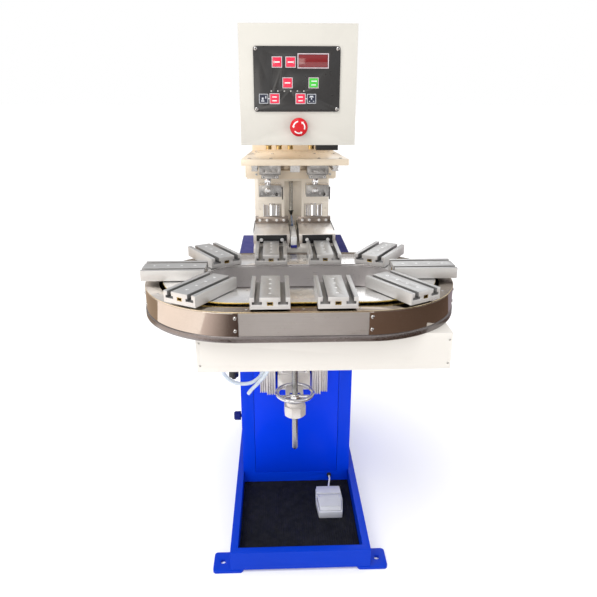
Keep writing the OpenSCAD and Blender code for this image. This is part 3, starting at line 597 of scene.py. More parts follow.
def soften(node, mat, width=1.0, seg=2, sharp=38, body=None, name=None, only=None, skip=None, replace=True, pick=None):
    """A copy of the CAD node with its hard edges rounded to width mm, standing for the node. Faces on the rounding take the second material, if there is one."""
    bm = cad_bmesh(node)
    lim = math.radians(sharp)
    edges = [e for e in bm.edges if len(e.link_faces) == 2 and e.calc_face_angle(0) > lim]
    if only is not None:
        edges = [e for e in edges if only(e)]
    if skip is not None:
        edges = [e for e in edges if not skip(e)]
    mats = mat if isinstance(mat, (list, tuple)) else [mat]
    if edges:
        bmesh.ops.bevel(bm, geom=edges, offset=width * MM, segments=seg, profile=0.5, affect="EDGES", clamp_overlap=True,
                        material=1 if len(mats) > 1 and pick is None else -1)
    if pick is not None:
        bm.normal_update()
        for f in bm.faces:
            k = pick(f.calc_center_median(), f.normal)
            f.material_index = k
    body = body or NODES[node]["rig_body"]
    return piece(name or node + "_skin", bm, mats, body, (node,) if replace else (), angle=40, dedupe=False)


def paint(node, mat):
    """Gives a CAD node that is shown as it is its finished material."""
    me = NODES[node].data
    me.materials.clear()
    me.materials.append(mat)


# ---------------------------------------------------------------- cords
def P3(rows):
    return [Vector(r) * MM for r in rows]


HOSE = [[-201, -160, 590], [-201, -159, 560], [-201, -157, 530], [-201, -154, 500], [-200, -151, 470], [-193, -148, 446],
        [-178, -146, 427], [-160, -145, 418], [-142, -145, 416], [-124, -145, 419], [-107, -146, 430], [-94, -148, 447], [-86, -151, 472],
        [-85, -154, 500], [-85, -157, 530], [-85, -159, 560], [-85, -160, 590]]
TAIL = [[-70, -176, 590], [-70, -176, 560], [-70, -175, 530], [-72, -173, 500], [-76, -171, 475], [-84, -168, 455], [-96, -166, 438],
        [-109, -165, 423], [-121, -164, 410], [-131, -163, 396]]
LEAD = [[100, -46, 44], [100, -52, 44], [100, -58, 43], [99, -64, 42], [98, -70, 41], [97, -76, 40], [96, -82, 40], [95, -88, 40], [94, -94, 40], [94, -98, 40]]


def cord_piece(name, route, r, mat, body, slot, node, bore=None, n=20, **kw):
    pts = catmull(P3(route), 6)
    bm = bmesh.new()
    if bore is None:
        tube(bm, pts, r, n)
    else:
        # an open end: outer wall, end face and the first stretch of the bore
        tube(bm, pts, r, n, caps=False)
        b = bmesh.new()
        tube(b, pts[::-1][:14], bore, n, caps=False)
        merge(bm, b)
        bm.verts.ensure_lookup_table()
        loops = []
        for e in [e for e in bm.edges if len(e.link_faces) == 1]:
            loops.append(e)
        end = Vector(pts[-1])
        rim = [e for e in loops if (e.verts[0].co - end).length < r * 1.3]
        bmesh.ops.bridge_loops(bm, edges=rim)
    bmesh.ops.recalc_face_normals(bm, faces=bm.faces)
    me = bpy.data.meshes.new(name)
    bm.to_mesh(me)
    bm.free()
    me.materials.append(mat)
    shade(me, 60)
    o = link(bpy.data.objects.new(name, me))
    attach(o, body)
    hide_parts(node)
    return o


cord_piece("air_hose_loop", HOSE, 0.005, M["hose"], "table", "clear_hose", "air_hose", far_end="object", stiffness="medium", lay="hanging")
cord_piece("air_hose_tail", TAIL, 0.005, M["hose"], "table", "clear_hose", "air_hose", bore=0.0036, far_end="bare", stiffness="medium", lay="hanging")
cord_piece("footswitch_lead", LEAD, 0.0025, M["white_cord"], "root", "white_cord", "footswitch_cord", far_end="object", stiffness="medium", lay="loose", n=14)


# ---------------------------------------------------------------- measures shared by the detail pieces
HALF, OY, PZ, RZ = 0.128, -0.260, 0.7525, 0.7475
JR, JH, JB = 0.153, 0.070, 0.7545          # work plate: distance out, half length, underside
SKIRT_B, SKIRT_R, PLATE_R, PIT_R = 0.696, 0.218, 0.179, 0.090
CHAIN_R = (1.310 - 0.512) / (2 * math.pi)
D_ANG = math.degrees((0.131 - (HALF - 0.0655)) / CHAIN_R)
HX, ST = -0.004, 0.063
LX, WY = -0.008, -0.170
PX, PANZ, PF = -0.003, 1.1728, -0.163


def rot_z(deg):
    return Matrix.Rotation(math.radians(deg), 4, "Z")


def jig_matrix(i):
    x, a = {1: (-0.0655, 0), 10: (0.0655, 0), 2: (-HALF, -D_ANG), 3: (-HALF, -90), 4: (-HALF, -180 + D_ANG), 5: (-0.0655, 180),
            6: (0.0655, 180), 7: (HALF, 180 - D_ANG), 8: (HALF, 90), 9: (HALF, D_ANG)}[i]
    return Matrix.Translation((x, OY, 0)) @ rot_z(a) @ Matrix.Translation((0, -JR, 0))


# ---------------------------------------------------------------- base, column, lift
soften("base_frame", M["blue_base"], 1.6, 3)
# the shell's top faces take the blue with painted reflection and shade
soften("column_shell", [M["blue"], M["blue_top_painted_light"]], 2.0, 3, pick=lambda c, n: 1 if n.z > 0.7 and c.z > 0.6 else 0)
soften("column_front_panel", M["blue_panel"], 0.6, 2)
soften("rear_door", M["blue_panel"], 0.5, 2)
soften("foot_mat", M["rubber_dark"], 0.35, 1)
soften("air_filter", M["black"], 1.2, 2)
soften("lift_rails", M["alu_z"], 0.4, 2)
soften("lift_bracket", [M["cast_light"], M["screw"]], 0.8, 2,
       pick=lambda c, n: 1 if c.y < -0.0905 and c.z > 0.415 else 0)
soften("lift_carriage", M["alu"], 0.8, 2)
soften("handwheel_nut", M["steel"], 0.5, 2)
soften("side_latch", M["knob_blue"], 1.5, 3)


def make_handwheel():
    bm = bmesh.new()
    R, r, n, k = 0.0468, 0.0052, 96, 24
    rings = []
    for i in range(n):
        a = 2 * math.pi * i / n
        rings.append([bm.verts.new((LX + (R + r * math.cos(2 * math.pi * j / k)) * math.cos(a),
                                    WY + (R + r * math.cos(2 * math.pi * j / k)) * math.sin(a),
                                    0.401 + r * math.sin(2 * math.pi * j / k))) for j in range(k)])
    for i in range(n):
        u, v = rings[i], rings[(i + 1) % n]
        for j in range(k):
            bm.faces.new((u[j], v[j], v[(j + 1) % k], u[(j + 1) % k]))
    m = Matrix.Translation((LX, WY, 0))
    # hub with a turned groove and a bore for the screw
    lathe(bm, [(0.00806, 0.3875), (0.0140, 0.3875), (0.0150, 0.3885), (0.0150, 0.3935), (0.0143, 0.3942), (0.0143, 0.3952), (0.0150, 0.3960),
               (0.0150, 0.3990), (0.0138, 0.4008), (0.0110, 0.4013), (0.00806, 0.4013), (0.00806, 0.3875)], 48, m)
    # three spokes, thinner in the middle and dished
    for i in range(3):
        a = math.radians(90 + i * 120)
        d = Vector((math.cos(a), math.sin(a), 0))
        pts, rad = [], []
        for t in range(11):
            u = t / 10
            rr = 0.0125 + (R - 0.0035 - 0.0125) * u
            pts.append(Vector((LX, WY, 0.3945 + 0.0062 * u * u * (3 - 2 * u))) + d * rr)
            rad.append(0.0044 - 0.0008 * math.sin(math.pi * u))
        tube(bm, pts, rad, 20)
    piece("handwheel_chrome", bm, M["chrome"], "handwheel", ("handwheel",), angle=35)


def make_lift_screw():
    bm = bmesh.new()
    m = Matrix.Translation((LX, WY, 0))
    prof = [(0, 0.2300), (0.0050, 0.2300), (0.0078, 0.2336), (0.0080, 0.2345), (0.0080, 0.3280)]
    z = 0.3290
    while z < 0.5860:
        prof += [(0.0080, z), (0.0080, z + 0.0012), (0.0071, z + 0.0020), (0.0071, z + 0.0030), (0.0080, z + 0.0038)]
        z += 0.0040
    prof += [(0.0080, 0.5895), (0.0195, 0.5900), (0.0200, 0.5905), (0.0200, 0.6020)]
    lathe(bm, prof + [(0, 0.6020)], 32, m)
    piece("lift_screw_threaded", bm, M["rod"], "table", ("lift_screw",), angle=30)


make_handwheel()
make_lift_screw()


# ---------------------------------------------------------------- conveyor table
def oval_radius(c):
    dx = max(abs(c.x) - HALF, 0.0)
    return math.hypot(dx, c.y - OY)


soften("drive_box", [M["ivory"], M["dark_steel"]], 1.6, 3,
       pick=lambda c, n: 1 if (-0.4419 < c.y < -0.4385 and abs(n.y) < 0.9 and 0.610 < c.z < 0.675) or c.z < 0.6015 else 0)
soften("base_plate", M["plate_edge"], 0.8, 2)
soften("skirt_panels", M["alu_x"], 0.25, 1)
soften("skirt_bands", M["mirror"], 0.25, 1)
soften("pit_wall", M["pit_steel"], 0.5, 1)
# the outer ring's rounded edges and the inner plate's rim take the painted highlight colours
soften("outer_ring", [M["ring"], M["edge_gold_painted_highlight"]], 0.7, 2)
soften("inner_plate", [M["bright"], M["edge_yellow_painted_highlight"]], 0.6, 2,
       pick=lambda c, n: 1 if oval_radius(c) > PLATE_R - 0.0008 else 0)
soften("conveyor_chain", M["chain"], 0.5, 1)
soften("drive_motor", M["dark_paint"], 1.0, 2)
soften("drive_sprocket", M["chain"], 0.4, 1)


def make_skirt_screws():
    bm = bmesh.new()
    for s in (-1, 1):
        for z in (SKIRT_B + 0.012, RZ - 0.013):
            for a in (1.6, 75):
                th = math.radians(-90 + s * a) if s > 0 else math.radians(-90 - a)
                d = Vector((math.cos(th), math.sin(th), 0))
                p = Vector((s * HALF, OY, z)) + d * (SKIRT_R - 0.0001)
                dome_screw(bm, p, 0.0072, d, 0, 1, h=0.0023)
    # countersunk screws of the outer ring
    for x, y in ((-0.1120, OY - 0.2025), (0.0, OY - 0.2025), (0.1120, OY - 0.2025), (-0.1120, OY + 0.2025), (0.0, OY + 0.2025), (0.1120, OY + 0.2025)):
        dome_screw(bm, (x, y, RZ - 0.0001), 0.0062, (0, 0, 1), 0, 1, h=0.0008)
    for s in (-1, 1):
        for a in (-62, -31, 0, 31, 62):
            d = Vector((s * math.cos(math.radians(a)), math.sin(math.radians(a)), 0))
            dome_screw(bm, Vector((s * HALF, OY, RZ - 0.0001)) + d * 0.2025, 0.0062, (0, 0, 1), 0, 1, h=0.0008)
    # screws of the inner plate round the pit
    for x in (-0.115, 0.0, 0.115):
        for s in (-1, 1):
            dome_screw(bm, (x, OY + s * 0.104, PZ - 0.0006), 0.0062, (0, 0, 1), 0, 1, h=0.0009)
    piece("table_screws", bm, [M["screw"], M["dark_steel"]], "table", ("skirt_screws",))


make_skirt_screws()


def make_chain_links():
    """Side plates of the chain, lying on its band."""
    bm = bmesh.new()
    per = 4 * HALF + 2 * math.pi * CHAIN_R
    n = 206
    p = per / n

    def at(s):
        s = s % per
        if s < 2 * HALF:
            return Vector((-HALF + s, OY - CHAIN_R, 0)), Vector((1, 0, 0))
        s -= 2 * HALF
        if s < math.pi * CHAIN_R:
            a = s / CHAIN_R - math.pi / 2
            return Vector((HALF + CHAIN_R * math.cos(a), OY + CHAIN_R * math.sin(a), 0)), Vector((-math.sin(a), math.cos(a), 0))
        s -= math.pi * CHAIN_R
        if s < 2 * HALF:
            return Vector((HALF - s, OY + CHAIN_R, 0)), Vector((-1, 0, 0))
        s -= 2 * HALF
        a = s / CHAIN_R + math.pi / 2
        return Vector((-HALF + CHAIN_R * math.cos(a), OY + CHAIN_R * math.sin(a), 0)), Vector((-math.sin(a), math.cos(a), 0))

    z = SKIRT_B + 0.026
    for i in range(0, n, 2):
        q, t = at((i + 0.5) * p)
        m = frame_at(q + Vector((0, 0, z)), (0, 0, 1), t)
        prof = []
        for k in range(14):
            a = 2 * math.pi * k / 14
            cx = (p * 0.5 if math.cos(a) > 0 else -p * 0.5)
            prof.append((cx + 0.0022 * math.cos(a), 0.0022 * math.sin(a)))
        lo = [bm.verts.new(m @ Vector((x, y, 0.0))) for x, y in prof]
        hi = [bm.verts.new(m @ Vector((x, y, 0.0009))) for x, y in prof]
        for k in range(14):
            bm.faces.new((lo[k], lo[(k + 1) % 14], hi[(k + 1) % 14], hi[k]))
        bm.faces.new(hi)
    piece("chain_links", bm, M["chain"], "table", (), angle=30)


make_chain_links()


def make_jigs():
    for i in range(1, 11):
        m = jig_matrix(i)
        inv = m.inverted()
        node = "jig_%02d" % i

        def pick(c, n, inv=inv):
            q = inv @ c
            if c.z < JB - 0.00005:
                return 1
            # painted shade: the end pockets and the centre groove take dark steel, the T-slot's undercut the darker
            # slot metal
            if abs(q.x) < 0.0062 and abs(q.y) > JH - 0.015 and abs(q.y) < JH - 0.0002 and 0.7615 < c.z < 0.7702:
                return 3
            if abs(abs(q.x) - 0.025) < 0.0097 and abs(q.y) < JH - 0.0004 and 0.7632 < c.z < 0.7780:
                return 2
            if abs(q.x) < 0.0026 and abs(q.y) < 0.05 and c.z < 0.7780:
                return 3
            # side faces take the lighter jig metal with painted light
            return 4 if abs(n.z) < 0.5 else 0

        soften(node, [M["jig_alu"], M["black"], M["slot_painted_shade"], M["dark_steel"], M["jig_side"]], 0.5, 2, pick=pick)
        bm = bmesh.new()
        for s in (-1, 1):
            # brass liner of the end pocket
            y0, y1 = s * (JH - 0.0003), s * (JH - 0.0090)
            x, z0, z1, w = 0.0059, 0.7621, 0.7694, 0.0010
            for a, b in (((-x, z0), (x, z0 + w)), ((-x, z1 - w), (x, z1)), ((-x, z0 + w), (-x + w, z1 - w)), ((x - w, z0 + w), (x, z1 - w))):
                rbox(bm, (a[0], min(y0, y1), a[1]), (b[0], max(y0, y1), b[1]), 0.0002, 1, m)
        piece(node + "_liners", bm, M["gold"], node)
        bm = bmesh.new()
        for y in (-0.045, -0.015, 0.015, 0.045):
            q = m @ Vector((0, y, 0.7764))
            lathe(bm, [(0, 0.0022), (0.0010, 0.0022), (0.0010, 0.0027), (0.0022, 0.0026), (0.0031, 0.0023), (0.0032, 0.0019), (0.0024, 0.0019), (0.0024, -0.0020)], 20, Matrix.Translation(q))
        piece(node + "_set_screws", bm, M["screw_bright"], node)


make_jigs()


# ---------------------------------------------------------------- print head
soften("head_base", [M["ivory"], M["white"], M["blue_tip"]], 1.0, 2,
       pick=lambda c, n: 1 if c.z > 0.7565 and abs(c.x - HX + 0.002) < 0.0083 else 0)
# the head frame's ivory is the brighter copy with painted light
soften("head_frame", [M["ivory_warm_painted_light"], M["rod_grey"], M["gloss_black"]], 1.2, 2,
       pick=lambda c, n: 2 if (c.z < 0.8125 and abs(c.x - HX + 0.003) < 0.009 and c.y < 0.219 and c.y > 0.201) else
       1 if (abs(c.x - HX + 0.003) < 0.0075 and 0.2035 < c.y < 0.2165 and c.z < 0.9055) else 0)
soften("cliche_trays", M["tray_steel"], 0.8, 2)
soften("top_plate", [M["beige"], M["edge_gold_painted_highlight"]], 0.8, 2, pick=lambda c, n: 0)
soften("box_bracket", M["beige"], 0.8, 2)
soften("clamp_strips", [M["strip_black"], M["screw_bright"], M["black"]], 0.35, 2,
       pick=lambda c, n: 1 if c.y < -0.0286 and c.z < 0.7845 else (2 if c.y > 0 else 0))
soften("carriage_rails", M["steel"], 0.3, 1)
soften("ink_cups", [M["chrome"], M["bar_brown"], M["screw_bright"]], 0.5, 2,
       pick=lambda c, n: 0 if c.y > 0.1305 else (2 if c.y < 0.1118 else 1))


def carriage_pick(c, n):
    x = c.x - HX
    if c.y > 0.1118 or (abs(x) > 0.0855 and c.z > 0.925 and c.z < 0.9605 and c.y > 0.0755):
        return 1                # ivory plates and end blocks, in the brighter ivory with painted light
    if c.y < 0.0758:
        if abs(abs(x + 0.006) - ST) < 0.0056 and c.z < 0.9415:
            return 3            # guide rods
        return 2                # stroke blocks
    if c.z > 0.9625 and abs(x) > 0.08:
        return 3
    return 0


soften("head_carriage", [M["beige"], M["ivory_warm_painted_light"], M["mottled"], M["steel"]], 0.5, 2, pick=carriage_pick)


def slide_pick(side):
    cx = HX + side * ST

    def pick(c, n):
        x = c.x - cx
        if math.hypot(x + 0.006, c.y - 0.048) < 0.0096 and c.z > 0.9139:
            return 1
        if x > 0.0302:
            return 2
        if math.hypot(x - 0.017, c.z - 0.890) < 0.0045 and c.y > 0.0222 and c.y < 0.0515:
            return 3
        return 0
    return pick


def make_slides():
    for side, nm in ((-1, "pad_slide_left"), (1, "pad_slide_right")):
        soften(nm, [M["mottled"], M["chrome"], M["dark_steel"], M["gloss_black"]], 0.5, 2, pick=slide_pick(side))
        cx = HX + side * ST
        bm = bmesh.new()
        for dx in (-0.017, 0.017):
            cap_screw(bm, (cx + dx, 0.0221, 0.9364), 0.0066, (0, -1, 0), h=0.0030, mi=0, mi_dark=1)
        # clamp knob on the block's front
        m = frame_at((cx - 0.007, 0.0181, 0.9010), (0, -1, 0))
        lathe(bm, [(0.0078, 0.0), (0.0082, 0.0006), (0.0082, 0.0034), (0.0074, 0.0042), (0.0046, 0.0046), (0.0040, 0.0036), (0.0, 0.0034)], 36, m, 0)
        for dx in (-0.022, 0.006):
            cap_screw(bm, (cx + dx, 0.0181, 0.8940), 0.0050, (0, -1, 0), h=0.0024, mi=0, mi_dark=1)
        piece(nm + "_screws", bm, [M["screw"], M["gloss_black"]], nm)


make_slides()


def make_head_details():
    # blue end of the tongue and the bluish air line behind it
    bm = bmesh.new()
    rbox(bm, (HX - 0.0103, -0.0274, 0.7560), (HX + 0.0063, -0.0120, 0.7645), 0.0012, 3)
    piece("tongue_end", bm, M["blue_tip"], "root")
    bm = bmesh.new()
    tube(bm, catmull([(HX - 0.003, 0.176, 0.8010), (HX - 0.003, 0.160, 0.8000), (HX - 0.003, 0.140, 0.7960), (HX - 0.003, 0.124, 0.7915), (HX - 0.003, 0.110, 0.7880)], 5), 0.0034, 16)
    piece("air_line_stub", bm, M["blue_tube"], "root")
    # screws on the top plate and the end blocks
    bm = bmesh.new()
    for x in (-0.114, -0.060, 0.060, 0.114):
        for y in (-0.055, 0.060, 0.135):
            if abs(x) < 0.10 and y > 0.1:
                continue
            xx = x * (1 - (y + 0.07) / 0.228 * 0.13)
            cap_screw(bm, (HX + xx, y, 0.9915), 0.0085, (0, 0, 1), h=0.0016, mi=0, mi_dark=1)
    piece("top_plate_screws", bm, [M["screw"], M["dark_steel"]], "root")
    bm = bmesh.new()
    for s in (-1, 1):
        cap_screw(bm, (HX + s * 0.1005, 0.0761, 0.9360), 0.0060, (0, -1, 0), h=0.0024, mi=0, mi_dark=1)
    piece("end_block_screws", bm, [M["screw"], M["dark_steel"]], "head_carriage")


make_head_details()


# ---------------------------------------------------------------- control box
soften("control_box", M["ivory_box"], 2.0, 3)
soften("control_panel", M["panel"], 0.4, 2)
soften("cable_glands", [M["brass"], M["black"], M["rubber"]], 0.4, 2,
       pick=lambda c, n: 1 if c.x > 0.045 and c.z > 0.9 else (2 if c.z < 0.1 else 0))
soften("estop_collar", M["collar_grey"], 0.8, 2)


def outline(bm, x0, z0, x1, z1, w, y0, y1, mi=0):
    """Flat rectangular frame facing -Y, w wide inwards."""
    def ring(ax0, az0, ax1, az1, y):
        return [bm.verts.new(v) for v in ((ax0, y, az0), (ax1, y, az0), (ax1, y, az1), (ax0, y, az1))]
    of, inf = ring(x0, z0, x1, z1, y1), ring(x0 + w, z0 + w, x1 - w, z1 - w, y1)
    ob, inb = ring(x0, z0, x1, z1, y0), ring(x0 + w, z0 + w, x1 - w, z1 - w, y0)
    for k in range(4):
        j = (k + 1) % 4
        for q in ((of[k], of[j], inf[j], inf[k]), (ob[k], inb[k], inb[j], ob[j]), (of[k], ob[k], ob[j], of[j]), (inf[k], inf[j], inb[j], inb[k])):
            bm.faces.new(q).material_index = mi


def flat(bm, pts, y0, y1, mi=0):
    """Thin plate facing -Y with the outline pts (x, z)."""
    a = [bm.verts.new((x, y1, z)) for x, z in pts]
    b = [bm.verts.new((x, y0, z)) for x, z in pts]
    bm.faces.new(a).material_index = mi
    bm.faces.new(b[::-1]).material_index = mi
    for k in range(len(pts)):
        j = (k + 1) % len(pts)
        bm.faces.new((a[k], b[k], b[j], a[j])).material_index = mi


KEYS = [(-0.0465, 1.2080), (-0.0168, 1.2080), (-0.0236, 1.1656), (-0.0524, 1.1327), (0.0052, 1.1327), (0.0338, 1.1657)]


def make_panel():
    bm = bmesh.new()
    for x, z in KEYS:
        outline(bm, x - 0.0111, z - 0.0111, x + 0.0111, z + 0.0111, 0.0013, PF + 0.0001, PF - 0.0003)
    outline(bm, -0.0016, 1.1954, 0.0666, 1.2256, 0.0017, PF + 0.0001, PF - 0.0004)
    piece("panel_outlines", bm, M["print"], "root")
    # two picture fields beside the lower keys: a plate under a stamp, and a box on a stand
    bm = bmesh.new()
    for x in (-0.0768, 0.0296):
        outline(bm, x - 0.0100, 1.1227, x + 0.0100, 1.1427, 0.0011, PF + 0.0001, PF - 0.0003, 0)
        flat(bm, [(x - 0.0088, 1.1239), (x + 0.0088, 1.1239), (x + 0.0088, 1.1415), (x - 0.0088, 1.1415)], PF + 0.0001, PF - 0.00015, 1)
    x = -0.0768
    flat(bm, [(x - 0.0055, 1.1268), (x + 0.0015, 1.1268), (x + 0.0015, 1.1290), (x - 0.0055, 1.1290)], PF, PF - 0.0003, 0)
    flat(bm, [(x - 0.0040, 1.1305), (x, 1.1305), (x, 1.1350), (x - 0.0040, 1.1350)], PF, PF - 0.0003, 0)
    flat(bm, [(x + 0.0040, 1.1330), (x + 0.0060, 1.1330), (x + 0.0060, 1.1385), (x + 0.0040, 1.1385)], PF, PF - 0.0003, 0)
    x = 0.0296
    flat(bm, [(x - 0.0050, 1.1355), (x + 0.0050, 1.1355), (x + 0.0030, 1.1390), (x - 0.0030, 1.1390)], PF, PF - 0.0003, 0)
    flat(bm, [(x - 0.0012, 1.1310), (x + 0.0012, 1.1310), (x + 0.0012, 1.1345), (x - 0.0012, 1.1345)], PF, PF - 0.0003, 0)
    for d in (-0.0055, 0.0035):
        flat(bm, [(x + d, 1.1262), (x + d + 0.0022, 1.1262), (x + d + 0.0022, 1.1282), (x + d, 1.1282)], PF, PF - 0.0003, 0)
    # short strokes from the picture fields to their keys
    for a, b in ((-0.0666, -0.0640), (0.0165, 0.0193)):
        flat(bm, [(a, 1.1316), (b, 1.1316), (b, 1.1338), (a, 1.1338)], PF + 0.0001, PF - 0.0002, 0)
    piece("panel_pictures", bm, [M["print_grey"], M["icon"]], "root")
    # display window
    bm = bmesh.new()
    rbox(bm, (0.0006, PF + 0.0002, 1.1976), (0.0644, PF + 0.0010, 1.2234), 0.0004, 2)
    piece("display_window", bm, M["display"], "root")
    # lamps
    bm = bmesh.new()
    for i in range(6):
        m = frame_at((-0.0595 + i * 0.0144, PF + 0.0012, 1.1486), (0, -1, 0))
        lathe(bm, [(0.0018, 0.0), (0.0018, 0.0008), (0.0015, 0.0014), (0.0008, 0.0018), (0, 0.0019)], 20, m)
    piece("lamps", bm, M["led"], "root")
    bm = bmesh.new()
    for sx in (-1, 1):
        for sz in (-1, 1):
            dome_screw(bm, (PX + sx * 0.0895, PF, PANZ + sz * 0.0620), 0.0082, (0, -1, 0), 0, 1, h=0.0026)
    piece("panel_screws", bm, [M["screw"], M["dark_steel"]], "root")


def make_keys():
    for i, (x, z) in enumerate(KEYS, 1):
        bm = bmesh.new()
        y = PF + 0.0009                      # pocket floor side
        o = 0.0094
        n = 6
        # slightly domed cap
        rows = []
        for a in range(n + 1):
            row = []
            for b in range(n + 1):
                u, v = -1 + 2 * a / n, -1 + 2 * b / n
                edge = max(abs(u), abs(v))
                d = 0.00055 * (1 - edge ** 4)
                row.append(bm.verts.new((x + u * o, PF - 0.0006 - d, z + v * o)))
            rows.append(row)
        for a in range(n):
            for b in range(n):
                bm.faces.new((rows[a][b], rows[a + 1][b], rows[a + 1][b + 1], rows[a][b + 1]))
        rim = [rows[a][0] for a in range(n)] + [rows[n][b] for b in range(n)] + [rows[a][n] for a in range(n, 0, -1)] + [rows[0][b] for b in range(n, 0, -1)]
        low = [bm.verts.new((p.co.x, y, p.co.z)) for p in rim]
        for k in range(len(rim)):
            j = (k + 1) % len(rim)
            bm.faces.new((rim[k], low[k], low[j], rim[j]))
        bm.faces.new(low[::-1])
        piece("key_cap_%d" % i, bm, M["green_key"] if i == 6 else M["red_key"], "key_%d" % i, ("key_%d" % i,), angle=40)
        bm = bmesh.new()
        ya, yb = PF - 0.0009, PF - 0.00122
        if i in (1, 2, 3):
            s = -1 if i == 1 else 1
            flat(bm, [(x - 0.0062, z - 0.0013), (x + 0.0062, z - 0.0013), (x + 0.0062, z + 0.0013), (x - 0.0062, z + 0.0013)], ya, yb)
            if i < 3:
                flat(bm, [(x + s * 0.0052, z - 0.0032), (x + s * 0.0080, z), (x + s * 0.0052, z + 0.0032)], ya, yb)
        else:
            for d in (-0.0042, 0.0036):
                flat(bm, [(x - 0.0050, z + d - 0.0011), (x + 0.0050, z + d - 0.0011), (x + 0.0050, z + d + 0.0011), (x - 0.0050, z + d + 0.0011)], ya, yb)
            if i == 6:
                flat(bm, [(x + 0.0050, z + 0.0011), (x + 0.0074, z + 0.0036), (x + 0.0050, z + 0.0061)], ya, yb)
        piece("key_mark_%d" % i, bm, M["white"], "key_%d" % i)


def make_estop():
    m = frame_at((0.001, -0.160, 1.073), (0, -1, 0), (1, 0, 0))
    bm = bmesh.new()
    lathe(bm, [(0, -0.0138), (0.0066, -0.0138), (0.0070, -0.0134), (0.0070, 0.0108), (0.0165, 0.0112), (0.0186, 0.0125), (0.0199, 0.0150), (0.0200, 0.0205),
               (0.0196, 0.0222), (0.0184, 0.0240), (0.0160, 0.0258), (0.0125, 0.0270), (0.0080, 0.0277), (0.0040, 0.0279), (0, 0.0280)], 64, m)
    piece("estop_head", bm, M["red"], "estop_button", ("estop_button",), angle=50)

    def top(r):
        P = [(0.0, 0.0280), (0.0040, 0.0279), (0.0080, 0.0277), (0.0125, 0.0270), (0.0160, 0.0258), (0.0184, 0.0240)]
        for (a, za), (b, zb) in zip(P, P[1:]):
            if r <= b:
                return za + (zb - za) * (r - a) / (b - a) + 0.00018
        return P[-1][1]

    bm = bmesh.new()
    for k in range(3):
        a0 = math.radians(100 + k * 120)
        n = 14
        prev = None
        for i in range(n + 1):
            a = a0 + math.radians(68) * i / n
            row = [bm.verts.new(m @ Vector((r * math.cos(a), r * math.sin(a), top(r)))) for r in (0.0112, 0.0126, 0.0140)]
            if prev:
                bm.faces.new((prev[0], prev[1], row[1], row[0]))
                bm.faces.new((prev[1], prev[2], row[2], row[1]))
            prev = row
        a = a0 + math.radians(68)
        tip = a + math.radians(20)
        t = [bm.verts.new(m @ Vector((r * math.cos(q), r * math.sin(q), top(r)))) for r, q in ((0.0094, a), (0.0126, a), (0.0158, a), (0.0126, tip))]
        bm.faces.new((t[0], t[1], t[3]))
        bm.faces.new((t[1], t[2], t[3]))
    piece("estop_arrows", bm, M["white"], "estop_button", angle=60)


make_panel()
make_keys()
make_estop()


# ---------------------------------------------------------------- foot switch
soften("footswitch_base", [M["switch_grey"], M["steel"]], 0.9, 2,
       pick=lambda c, n: 1 if abs(n.x) > 0.95 and abs(abs(c.x - 0.091) - 0.0345) < 0.0003 and abs(c.y + 0.141) < 0.003 and abs(c.z - 0.0395) < 0.003 else 0)
soften("footswitch_pedal", M["switch_grey"], 0.8, 2)


